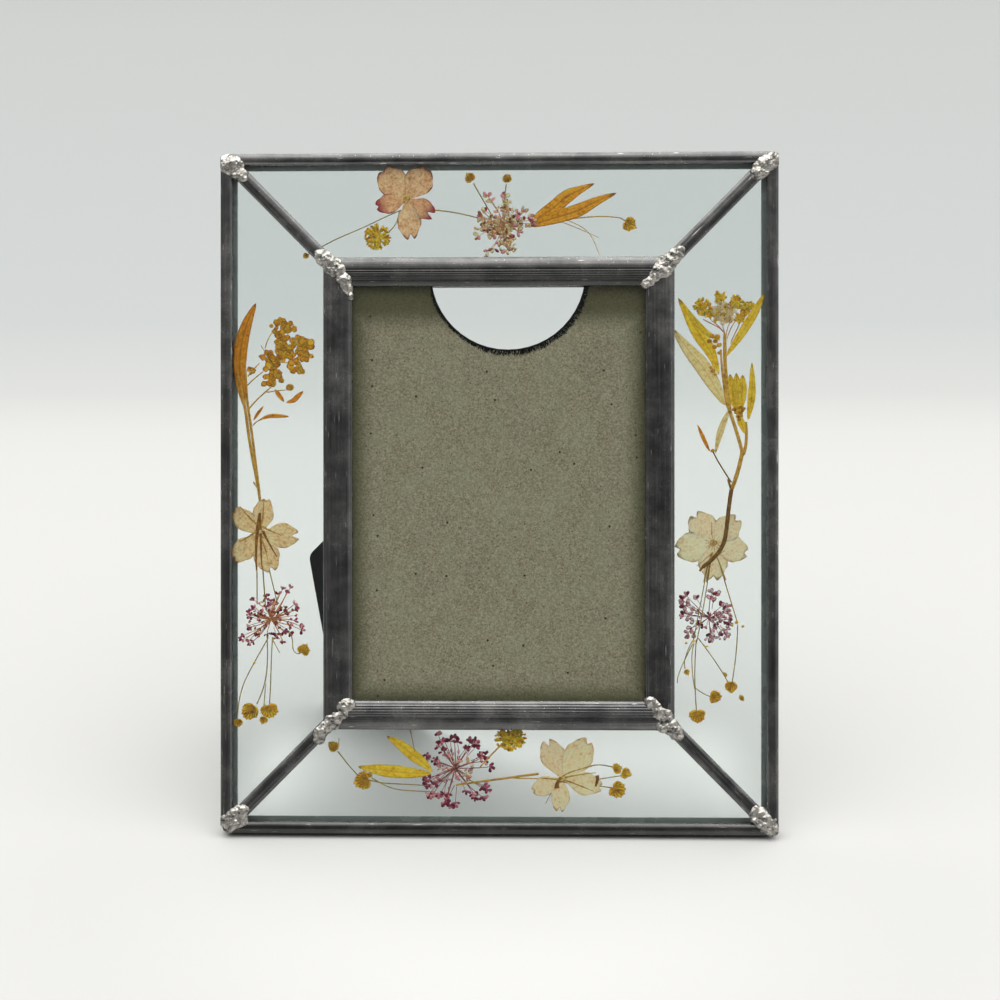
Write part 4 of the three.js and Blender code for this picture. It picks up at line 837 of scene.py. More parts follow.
def solderUp():
    work = solderWork
    for seed, (name, run) in enumerate(work["joints"].items()):
        crown = cameWork["innerCrown"] if name.startswith("inner") else cameWork["outerCrown"]
        fuller = 1.0 if name.startswith("inner") else work["outerFuller"]
        bead = [(u, v, width * fuller) for u, v, width in run]
        front = solderJoint(f"solder_bead_{name}", bead, crown, 1, seed)
        settle(front, "frame", "solder", f"solder_{name}")
        inset, thinner, lower = work["rearInset"], work["rearWidth"], work["rearLower"]
        thin = [(u * inset, v * inset, width * thinner) for u, v, width in run]
        back = solderJoint(f"solder_back_{name}", thin, crown - lower, -1, seed + 20)
        settle(back, "frame", "solder")
        for joint in (front, back):  # trimmed to the outside of the cames
            for vertex in joint.data.vertices:
                vertex.co = [min(max(value, low), high) for value, low, high in zip(vertex.co, cadLow, cadHigh)]


solderUp()
print("joints soldered")


# the cut panes and the board keep their shapes
for name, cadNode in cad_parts.items():
    if name.startswith("glass_"):
        cadNode.material_slots[0].material = finishes["borderGlass"]
    elif name == "window_glass":
        cadNode.material_slots[0].material = finishes["windowGlass"]
    elif name == "backing_board":
        cadNode.material_slots[0].material = finishes["board"]


# A finer copy of a cut part: its loose triangles are merged and its edges broken.
def refined(node, finish, edge, segments, body, slotName):
    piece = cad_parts[node].copy()
    piece.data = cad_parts[node].data.copy()
    piece.name = piece.data.name = node + "_made"
    bpy.context.collection.objects.link(piece)
    inEditMode(piece, lambda: bpy.ops.mesh.remove_doubles(threshold=0.002 * mm),
               lambda: bpy.ops.mesh.dissolve_limited(angle_limit=math.radians(2)), facesOut)
    modified(piece, "BEVEL", width=edge * mm, segments=segments, limit_method="ANGLE",
             angle_limit=math.radians(35), harden_normals=False)
    piece.data.materials.clear()
    piece.data.materials.append(finish)
    only(piece)
    bpy.ops.object.shade_smooth_by_angle(angle=math.radians(40))
    rideOn(piece, body, slotName, node)
    return piece


edges = {"leg": 0.7, "sheet": 0.15, "steel": 0.15}  # how far each is rounded
refined("easel_leg", finishes["velvet"], edges["leg"], 3, "leg", "velvet")
refined("backing_velvet", finishes["velvet"], edges["sheet"], 2, "frame", "velvet")
for part in ("hinge_board_leaf", "hinge_pin", "rivet_board_1", "rivet_board_2"):
    refined(part, finishes["steel"], edges["steel"], 2, "frame", "hinge_steel")
for part in ("hinge_leg_leaf", "rivet_leg_1", "rivet_leg_2"):
    refined(part, finishes["steel"], edges["steel"], 2, "leg", "hinge_steel")

# the thumb notch and its fringe; the five stages run from under the board to the fibre's tip
notch = {"u": 2.8, "v": 64.6, "radius": 23.25, "fibres": 760, "arc": (196, 352), "shortest": (0.15, 0.5),
         "extra": (0.2, 1.5), "lean": 0.9, "startRadius": 0.09, "endRadius": 0.05,
         "stages": ((-0.6, 0, -1.9), (-0.35, 0, -0.5), (-0.1, 0, -0.02), (0, 0.5, -0.04), (0, 1, -0.08))}


def notchFringe():
    # cut flock along the thumb notch: short fibres, longest and thickest low down and on the right
    dice = random.Random(3)
    lines = []
    for i in range(notch["fibres"]):
        degrees = dice.uniform(*notch["arc"])
        low = eased((degrees - 225) / 40) * (1 - 0.6 * eased((degrees - 325) / 25))
        clump = 0.5 + 0.9 * max(0.0, noise.noise(Vector((degrees / 4.5, 0, 1))) + 0.25)
        length = dice.uniform(*notch["shortest"]) + low * clump * dice.uniform(*notch["extra"])
        lean = dice.uniform(-notch["lean"], notch["lean"])
        turn = math.radians(degrees)
        radial, tangent = (math.cos(turn), math.sin(turn)), (-math.sin(turn), math.cos(turn))
        points = []
        for inside, share, depth in notch["stages"]:
            outwards = inside + length * share
            reach = notch["radius"] + outwards
            aside = lean * max(0.0, outwards)
            points.append((notch["u"] + radial[0] * reach + tangent[0] * aside,
                           notch["v"] + radial[1] * reach + tangent[1] * aside, depth))
        lines.append((notch["startRadius"], notch["endRadius"], points))
    fringe = strands(lines, finishes["velvet"], sides=1, steps=3)
    fringe.name = fringe.data.name = "notch_fringe"
    settle(fringe, "frame", "velvet")


notchFringe()
print("velvet, leg and hinge finished")


# masters, one millimetre in size: a lace petal, a pointed sepal, a rounded petal and a grain
masterShapes = {"ovalHalf": 0.29, "ovalTaper": 0.09, "sepalHalf": 0.21, "petalHalf": 0.42, "crinkle": 0.05,
                "grainLumps": 0.2}


def makeMasters():
    masters = {}
    shapes = masterShapes
    bpy.ops.object.select_all(action="DESELECT")
    bpy.ops.mesh.primitive_circle_add(vertices=14, radius=1, fill_type="TRIFAN")
    oval = bpy.context.object
    lay = []
    for vertex in oval.data.vertices:
        x, y = vertex.co.x, vertex.co.y
        lay.append((min(1.0, vertex.co.length), 0, 0))
        half = shapes["ovalHalf"] + shapes["ovalTaper"] * x
        vertex.co = Vector((0.5 + 0.5 * x, y * half, 0.05 * y * y)) * mm
    layDown(oval.data, lay)
    masters["oval"] = oval

    def sepal(t, s):
        half = shapes["sepalHalf"] * math.sin(math.pi * t ** 0.8) ** 0.55
        return (t, s * half, 0.03 * math.sin(math.pi * t) - 0.02 * s * s)

    def rounded(t, s):
        half = shapes["petalHalf"] * (0.25 + 0.75 * eased(t / 0.6)) * (1 - 0.35 * eased((t - 0.7) / 0.3))
        crinkle = shapes["crinkle"] * math.sin(7 * s + 3 * t) * t
        return (t * (1 - 0.16 * abs(s) ** 2.5 * t) + crinkle * 0.6, s * half, crinkle)

    masters["sepal"] = leafySheet(6, 4, sepal, finishes["budGold"])
    masters["petal"] = leafySheet(6, 5, rounded, finishes["blossomOrange"])
    bpy.ops.object.select_all(action="DESELECT")
    bpy.ops.mesh.primitive_uv_sphere_add(segments=8, ring_count=5, radius=mm)
    grain = bpy.context.object
    for vertex in grain.data.vertices:
        vertex.co *= 1 + shapes["grainLumps"] * noise.noise(vertex.co / mm * 1.7)
    layDown(grain.data, [(0, 0, 0)] * len(grain.data.vertices))
    masters["grain"] = grain
    return masters


masters = makeMasters()


# a verbena petal: narrow claw, broad blade and a notched tip, all as shares of its width and length
petalShape = {"claw": 0.16, "shoulder": 0.66, "taper": 0.24, "taperFrom": 0.74, "rounding": 0.21, "notch": 0.2,
              "notchWander": 0.12, "ragged": (0.05, 0.06), "lift": 0.035, "tint": 0.06, "grid": (18, 14)}


def verbenaPetal(centre, depth, turn, length, width, cleft, finish, seed):
    shape = petalShape

    def place(t, s):
        rough = noise.noise(Vector((s * 1.6, t * 2.2, seed * 3.7)))
        widening = shape["claw"] + (1 - shape["claw"]) * eased((t + 0.06) / shape["shoulder"])
        narrowing = 1 - shape["taper"] * eased((t - shape["taperFrom"]) / 0.26)
        half = width / 2 * widening * narrowing
        bite = cleft * math.exp(-((s + shape["notchWander"] * rough) / shape["notch"]) ** 2) * t ** 4
        reach = t * length * (1 - shape["rounding"] * abs(s) ** 2.6 * t - bite + shape["ragged"][0] * rough * t)
        aside = s * half * (1 + shape["ragged"][1] * rough)
        lift = shape["lift"] * math.sin(5 * s + 4 * t + seed) * t
        return (centre[0] + reach * math.cos(turn) - aside * math.sin(turn),
                centre[1] + reach * math.sin(turn) + aside * math.cos(turn), depth + lift)

    dice = random.Random(seed)
    return leafySheet(*shape["grid"], place, finish, dice.uniform(-shape["tint"], shape["tint"]))


# a leaf drawn along its midrib, widest at peak and pointed at the tip
bladeShape = {"fullness": 0.8, "least": 0.02, "ragged": 0.07, "lift": (0.05, -0.03, 0.02), "tint": 0.08,
              "grid": (22, 6)}


def leafBlade(midrib, width, peak, depth, finish, seed):
    shape = bladeShape
    power = math.log(0.5) / math.log(peak)

    def place(t, s):
        (u, v), (du, dv) = throughPoints(midrib, t)
        half = width / 2 * max(0.0, math.sin(math.pi * min(1.0, t) ** power)) ** shape["fullness"]
        aside = s * (half + shape["least"]) * (1 + shape["ragged"] * noise.noise(Vector((t * 4, s, seed))))
        cup, sag, ripple = shape["lift"]
        lift = cup * s * s + sag + ripple * math.sin(6 * t + seed)
        return (u - aside * dv, v + aside * du, depth + lift)

    dice = random.Random(seed)
    return leafySheet(*shape["grid"], place, finish, dice.uniform(-shape["tint"], shape["tint"]))


# a flower head seen from the side: gold sepals fanned from the stem with dark folds between them
headShape = {"back": 0.8, "reach": 1.95, "sides": 0.38, "sizes": (0.9, 1.05), "foldLength": 0.93,
             "foldWidths": (0.24, 0.36), "sepalWidths": (1.0, 1.3), "foldDepth": 0.07,
             "sepalDepths": (-0.05, 0.03), "tint": 0.15, "core": (0.5, 0.42, 0.09)}


def fannedHead(u, v, w, turn, radius, count, spread, finishPair, dice):
    shape = headShape
    long, wide, thick = shape["core"]
    made = [stamped(masters["grain"], finishPair[0], u, v, w, turn, (radius * long, radius * wide, thick))]
    back = radius * shape["back"]
    start = (u - math.cos(turn) * back, v - math.sin(turn) * back)
    for i in range(count * 2 - 1):
        share = (i / (count * 2 - 2) - 0.5) * 2
        angle = turn + math.radians(spread) / 2 * share
        dark = i % 2
        size = radius * shape["reach"] * (1 - shape["sides"] * abs(share)) * dice.uniform(*shape["sizes"])
        size *= shape["foldLength"] if dark else 1
        width = size * dice.uniform(*shape["foldWidths" if dark else "sepalWidths"])
        depth = w + (shape["foldDepth"] if dark else dice.uniform(*shape["sepalDepths"]))
        made.append(stamped(masters["sepal"], finishPair[dark], *start, depth, angle, (size, width, 1.0),
                            dice.uniform(-shape["tint"], shape["tint"])))
    return made


# an open blossom crumpled in the press: overlapping petals round a few grains
blossomShape = {"petals": 8, "grains": 5, "sizes": (0.85, 1.25), "wander": 0.16, "grainWander": 0.35,
                "widths": (0.8, 1.2), "crinkle": 1.6}


def openBlossom(u, v, w, radius, petalFinishes, grainFinish, dice):
    shape = blossomShape
    start = dice.uniform(0, math.tau)
    petals, grains = [], []
    for i in range(shape["petals"]):
        angle = start + math.tau * i / shape["petals"] + dice.uniform(-0.4, 0.4)
        size = radius * dice.uniform(*shape["sizes"])
        petals.append(stamped(
            masters["petal"], dice.choice(petalFinishes), u + dice.gauss(0, shape["wander"]) * radius,
            v + dice.gauss(0, shape["wander"]) * radius, w + dice.uniform(-0.08, 0.08), angle,
            (size, size * dice.uniform(*shape["widths"]), shape["crinkle"]), dice.uniform(-0.35, 0.2)))
    for i in range(shape["grains"]):
        grains.append(stamped(
            masters["grain"], grainFinish, u + dice.gauss(0, shape["grainWander"]) * radius,
            v + dice.gauss(0, shape["grainWander"]) * radius, w + 0.05, dice.uniform(0, 3),
            (radius * 0.2, radius * 0.07, 0.06), dice.uniform(-0.2, 0.1)))
    return petals, grains


# a few egg shaped petals spread from the end of a ray
floretShape = {"apart": 0.95, "turn": 0.35, "lengths": (0.75, 1.2), "widths": (0.8, 1.15), "wander": 0.12,
               "depth": 0.08}


def floretPetals(u, v, w, turn, size, count, shades, shares, dice):
    shape = floretShape
    made = []
    for i in range(count):
        angle = turn + (i - (count - 1) / 2) * shape["apart"] + dice.uniform(-shape["turn"], shape["turn"])
        length = size * dice.uniform(*shape["lengths"])
        finishName = dice.choices(shades, shares)[0]
        made.append(stamped(
            masters["oval"], finishes[finishName], u + dice.gauss(0, shape["wander"]) * size,
            v + dice.gauss(0, shape["wander"]) * size, w + dice.uniform(-shape["depth"], shape["depth"]), angle,
            (length, length * dice.uniform(*shape["widths"]), 1.0), dice.uniform(-0.25, 0.2)))
    return made


# a lace flower: thin rays from the centre, each ending in a small floret, with more florets inside
def laceHead(plan, w, dice):
    sheets, rays = [], []
    cu, cv = plan["centre"]
    thick = plan["rayWidth"] * 0.5
    for u, v in plan["florets"]:
        turn = math.atan2(v - cv, u - cu)
        sheets += floretPetals(u - math.cos(turn) * 0.5, v - math.sin(turn) * 0.5, w, turn, plan["petal"],
                               plan["petalsEach"], plan["shades"], plan["shares"], dice)
        bend = dice.uniform(-0.12, 0.12)
        mid = ((cu + u) / 2 - (v - cv) * bend, (cv + v) / 2 + (u - cu) * bend)
        if dice.random() < plan["raysKept"]:
            rays.append((thick, thick * 0.6, [(cu, cv), mid, (u, v)]))
        else:  # forks from a neighbour's ray
            rays.append((thick * 0.6, thick * 0.5, [mid, (u, v)]))
    for i in range(plan["inner"]):
        angle, reach = dice.uniform(0, math.tau), math.sqrt(dice.uniform(0.02, 1)) * plan["spread"]
        u = cu + math.cos(angle) * reach * plan["squash"][0]
        v = cv + math.sin(angle) * reach * plan["squash"][1]
        if "arms" in plan:  # the florets gather along a few arms
            degrees, length = dice.choice(plan["arms"])
            reach = dice.uniform(0, length)
            u = cu + math.cos(math.radians(degrees)) * reach + dice.gauss(0, plan["armWidth"])
            v = cv + math.sin(math.radians(degrees)) * reach + dice.gauss(0, plan["armWidth"])
        if i % 3 == 0:
            rays.append((thick * 0.8, thick * 0.4, [(cu, cv), ((cu + u) / 2, (cv + v) / 2), (u, v)]))
        sheets += floretPetals(u, v, w, angle, plan["petal"] * 0.72, 2, plan["innerShades"],
                               [1] * len(plan["innerShades"]), dice)
    for i in range(7):  # the knot where the rays meet
        rays.append((thick * 1.3, thick, [(cu + dice.gauss(0, 0.3), cv + dice.gauss(0, 0.3), w + 0.1),
                                          (cu + dice.gauss(0, 0.7), cv + dice.gauss(0, 0.7), w + 0.1)]))
    return sheets, [strands(rays, finishes[plan["rayFinish"]], 0.7, w, 1, 3)]


front, back = 0.17, -0.17  # the two layers of plants between the panes
pressing = {"room": 0.33, "paper": 0.05, "bladesApart": 0.16, "petalsApart": 0.035}

verbenas = {
    "verbena_top": {
        "centre": (-26.8, 85.7), "depth": front, "heart": 0.7, "ring": 1.15,
        "petals": [
            (129, 11.4, 8.8, 0.05, "petalMauve"), (56, 11.1, 8.6, 0.06, "petalMauve"),
            (193, 9.4, 5.7, 0.1, "petalCrimson"), (329, 9.4, 6.2, 0.26, "petalCrimson"),
            (277, 11.8, 6.8, 0.16, "petalMauve")]},
    "verbena_left": {
        "centre": (-69.9, -12.0), "depth": front, "heart": 1.5,
        "marks": [
            (
                "petalBruise",
                [
                    (0.35, 0.9, [(-69.7, -5.6), (-70.0, -8.2), (-70.0, -10.6)]),
                    (0.5, 0.2, [(-70.4, -10.6), (-71.0, -16.0), (-70.7, -22.6)]),
                    (0.4, 0.12, [(-69.4, -11.6), (-69.5, -16.6), (-69.0, -22.4)]),
                    (0.4, 0.14, [(-68.8, -11.0), (-66.8, -15.2), (-64.6, -18.6)])]),
            (
                "petalHeart",
                [
                    (0.35, 0.1, [(-69.0, -9.6), (-66.4, -11.2), (-63.4, -12.2)]),
                    (0.35, 0.1, [(-70.2, -10.8), (-73.2, -12.8), (-75.8, -14.2)]),
                    (0.3, 0.1, [(-69.6, -12.6), (-67.8, -16.2), (-67.2, -20.4)]),
                    (0.3, 0.1, [(-70.6, -9.0), (-73.6, -6.4), (-75.6, -3.6)]),
                    (0.3, 0.1, [(-69.2, -9.0), (-68.4, -4.8), (-68.6, -1.6)])])],
        "petals": [
            (79, 10.8, 6.2, 0.06, "petalTan"), (136, 10.6, 6.0, 0.06, "petalTan"),
            (224, 10.6, 6.4, 0.08, "petalTan"), (358, 12.0, 7.2, 0.2, "petalTan"),
            (289, 11.8, 7.8, 0.14, "petalTan")]},
    "verbena_right": {
        "centre": (62.4, -14.4), "depth": back, "heart": 0.6, "ring": 1.1,
        "marks": [
            (
                "petalHeart",
                [
                    (0.2, 0.2, [(62.2, -17.0), (61.0, -22.4), (60.4, -25.8)]),
                    (0.2, 0.2, [(61.9, -17.2), (60.2, -22.8), (59.6, -25.8)]),
                    (0.16, 0.18, [(62.9, -17.4), (64.4, -20.6), (66.0, -25.2)]),
                    (0.14, 0.1, [(61.6, -17.6), (59.6, -19.6), (57.6, -21.0)]),
                    (0.14, 0.1, [(63.6, -18.0), (64.6, -17.2), (65.8, -16.6)]),
                    (0.12, 0.08, [(61.9, -12.0), (62.0, -9.6), (61.8, -8.2)])]),
            ("petalBruise", [(0.45, 0.3, [(59.8, -21.0), (58.9, -21.6), (58.4, -22.6)])])],
        "petals": [
            (123, 10.4, 8.2, 0.14, "petalBeige"), (191, 11.4, 8.8, 0.14, "petalBeige"),
            (270, 10.8, 8.6, 0.1, "petalBeige"), (343, 10.6, 7.6, 0.12, "petalBeige"),
            (46, 10.4, 8.0, 0.14, "petalBeige")]},
    "verbena_bottom": {
        "centre": (18.7, -83.0), "depth": front, "heart": 1.2,
        "marks": [
            (
                "petalBruise",
                [
                    (0.7, 0.4, [(17.0, -85.8), (16.8, -84.2), (18.2, -82.6)]),
                    (0.3, 0.1, [(16.9, -84.2), (18.2, -83.6), (20.0, -84.2)]),
                    (0.55, 0.3, [(28.7, -82.0), (28.9, -83.4), (28.2, -85.2)])]),
            (
                "petalHeart",
                [
                    (0.2, 0.16, [(18.4, -82.4), (20.6, -80.9), (24.2, -80.0), (27.4, -79.2)]),
                    (0.24, 0.1, [(19.4, -83.4), (23.4, -84.8), (27.6, -86.6)]),
                    (0.2, 0.1, [(19.6, -82.6), (24.0, -81.6), (28.4, -81.2)]),
                    (0.26, 0.12, [(17.4, -83.2), (14.6, -83.0), (11.6, -82.8)])])],
        "petals": [
            (113, 12.6, 7.4, 0.2, "petalWarm"), (56, 13.6, 8.6, 0.12, "petalWarm"),
            (348, 11.8, 7.0, 0.1, "petalWarm"), (264, 9.8, 5.4, 0.16, "petalWarm"),
            (202, 9.9, 5.6, 0.08, "petalWarm")]}}

laces = {
    "lace_top": {
        "centre": (1.5, 78.6), "depth": front, "spread": 6.2, "squash": (0.95, 1.0), "inner": 190,
        "petal": 1.6, "arms": [(85, 6.2), (176, 6.2), (284, 7.4), (2, 8.4), (212, 4.2)], "armWidth": 0.95,
        "petalsEach": 3, "raysKept": 0.5, "rayWidth": 0.3, "rayFinish": "rayTan",
        "shades": ["floretPink", "floretRose", "floretCream", "floretRust"], "shares": [4, 2, 5, 1],
        "innerShades": [
            "floretCream", "floretCream", "floretCream", "floretCream", "floretCream", "floretRust",
            "floretPeach"],
        "florets": [
            (-3.4, 87.0), (-2.4, 85.3), (2.0, 86.6), (6.2, 81.9), (7.4, 82.3), (9.2, 80.6), (10.2, 79.6),
            (-3.2, 69.9), (-1.7, 70.9), (2.5, 70.6), (-3.4, 77.2), (6.2, 76.2), (-6.2, 74.6), (-5.4, 80.9),
            (-3.9, 82.4), (4.6, 78.0), (5.6, 80.0), (3.1, 74.4), (0.4, 73.2), (-1.9, 75.0)]},
    "lace_left": {
        "centre": (-66.5, -36.7), "depth": back, "spread": 6.6, "squash": (1.05, 0.9), "inner": 84,
        "petal": 1.2, "petalsEach": 3, "raysKept": 0.6, "rayWidth": 0.36, "rayFinish": "rayTan",
        "shades": ["floretMaroon", "floretRose", "floretPink"], "shares": [4, 4, 3],
        "innerShades": ["floretRose", "floretRust", "floretRust", "floretPeach", "floretMaroon"],
        "florets": [
            (-62.9, -27.5), (-60.7, -27.3), (-64.0, -29.0), (-61.8, -28.6), (-68.0, -29.5), (-71.8, -30.9),
            (-73.1, -34.8), (-72.8, -36.0), (-59.3, -32.1), (-59.0, -33.8), (-74.8, -41.6), (-75.2, -43.0),
            (-73.1, -39.1), (-72.1, -43.5), (-73.3, -43.7), (-70.6, -41.6), (-57.6, -38.9), (-57.1, -40.1),
            (-60.5, -38.6), (-59.0, -37.2), (-60.5, -41.1), (-62.4, -40.6), (-62.9, -43.5), (-64.8, -41.6),
            (-61.9, -34.8), (-63.9, -33.8), (-69.2, -34.3), (-67.3, -32.4), (-70.6, -36.2), (-71.6, -33.0)]},
    "lace_right": {
        "centre": (61.1, -36.0), "depth": back, "spread": 3.4, "squash": (1.0, 1.0), "inner": 12,
        "petal": 1.5, "petalsEach": 3, "raysKept": 0.4, "rayWidth": 0.26, "rayFinish": "rayMaroon",
        "shades": ["floretVeined", "floretPink", "floretMaroon"], "shares": [7, 1, 1],
        "innerShades": ["floretMaroon", "floretVeined"],
        "florets": [
            (53.3, -30.7), (54.5, -29.5), (53.3, -32.2), (55.1, -32.0), (57.5, -30.4), (62.0, -28.6),
            (63.3, -29.0), (61.5, -30.2), (62.4, -31.0), (64.9, -32.6), (67.0, -32.8), (65.6, -33.8),
            (66.7, -34.2), (53.6, -34.5), (53.0, -35.7), (54.8, -35.4), (56.3, -33.9), (56.0, -37.2),
            (63.5, -35.1), (64.7, -35.6), (66.1, -37.5), (67.0, -36.6), (67.0, -38.1), (55.7, -39.3),
            (54.7, -40.8), (56.5, -40.8), (62.6, -39.6), (64.9, -40.2), (66.4, -39.6), (66.3, -41.4),
            (64.2, -41.5), (61.4, -41.1), (61.1, -42.2), (62.3, -42.2)]},
    "lace_bottom": {
        "centre": (-12.6, -80.1), "depth": back, "spread": 4.6, "squash": (1.0, 1.0), "inner": 44,
        "petal": 1.4, "petalsEach": 4, "raysKept": 0.4, "rayWidth": 0.3, "rayFinish": "rayMaroon",
        "shades": ["floretMaroon", "floretRose", "floretPink"], "shares": [6, 3, 3],
        "innerShades": ["floretPeach", "floretPink", "floretCream", "floretVeined"],
        "florets": [
            (-17.6, -70.0), (-17.1, -72.0), (-15.8, -72.0), (-17.6, -73.4), (-16.2, -75.0), (-13.0, -70.7),
            (-14.0, -71.8), (-12.0, -72.0), (-8.0, -71.8), (-6.4, -71.8), (-7.3, -72.7), (-6.4, -73.6),
            (-9.3, -74.1), (-5.0, -75.8), (-3.5, -76.1), (-4.8, -76.9), (-3.5, -78.1), (-1.9, -79.6),
            (-21.6, -76.5), (-20.9, -77.4), (-18.9, -77.8), (-17.8, -79.0), (-21.6, -83.0), (-20.5, -83.7),
            (-21.4, -85.0), (-20.0, -85.0), (-18.4, -84.8), (-17.6, -83.7), (-20.5, -88.1), (-19.1, -87.7),
            (-17.3, -88.4), (-16.0, -87.9), (-14.9, -87.9), (-15.1, -89.5), (-14.2, -91.2), (-12.6, -90.8),
            (-15.6, -90.6), (-9.3, -87.2), (-7.1, -87.7), (-6.6, -88.8), (-4.2, -88.8), (-4.8, -85.9),
            (-3.7, -85.2), (-2.8, -86.3)]}}

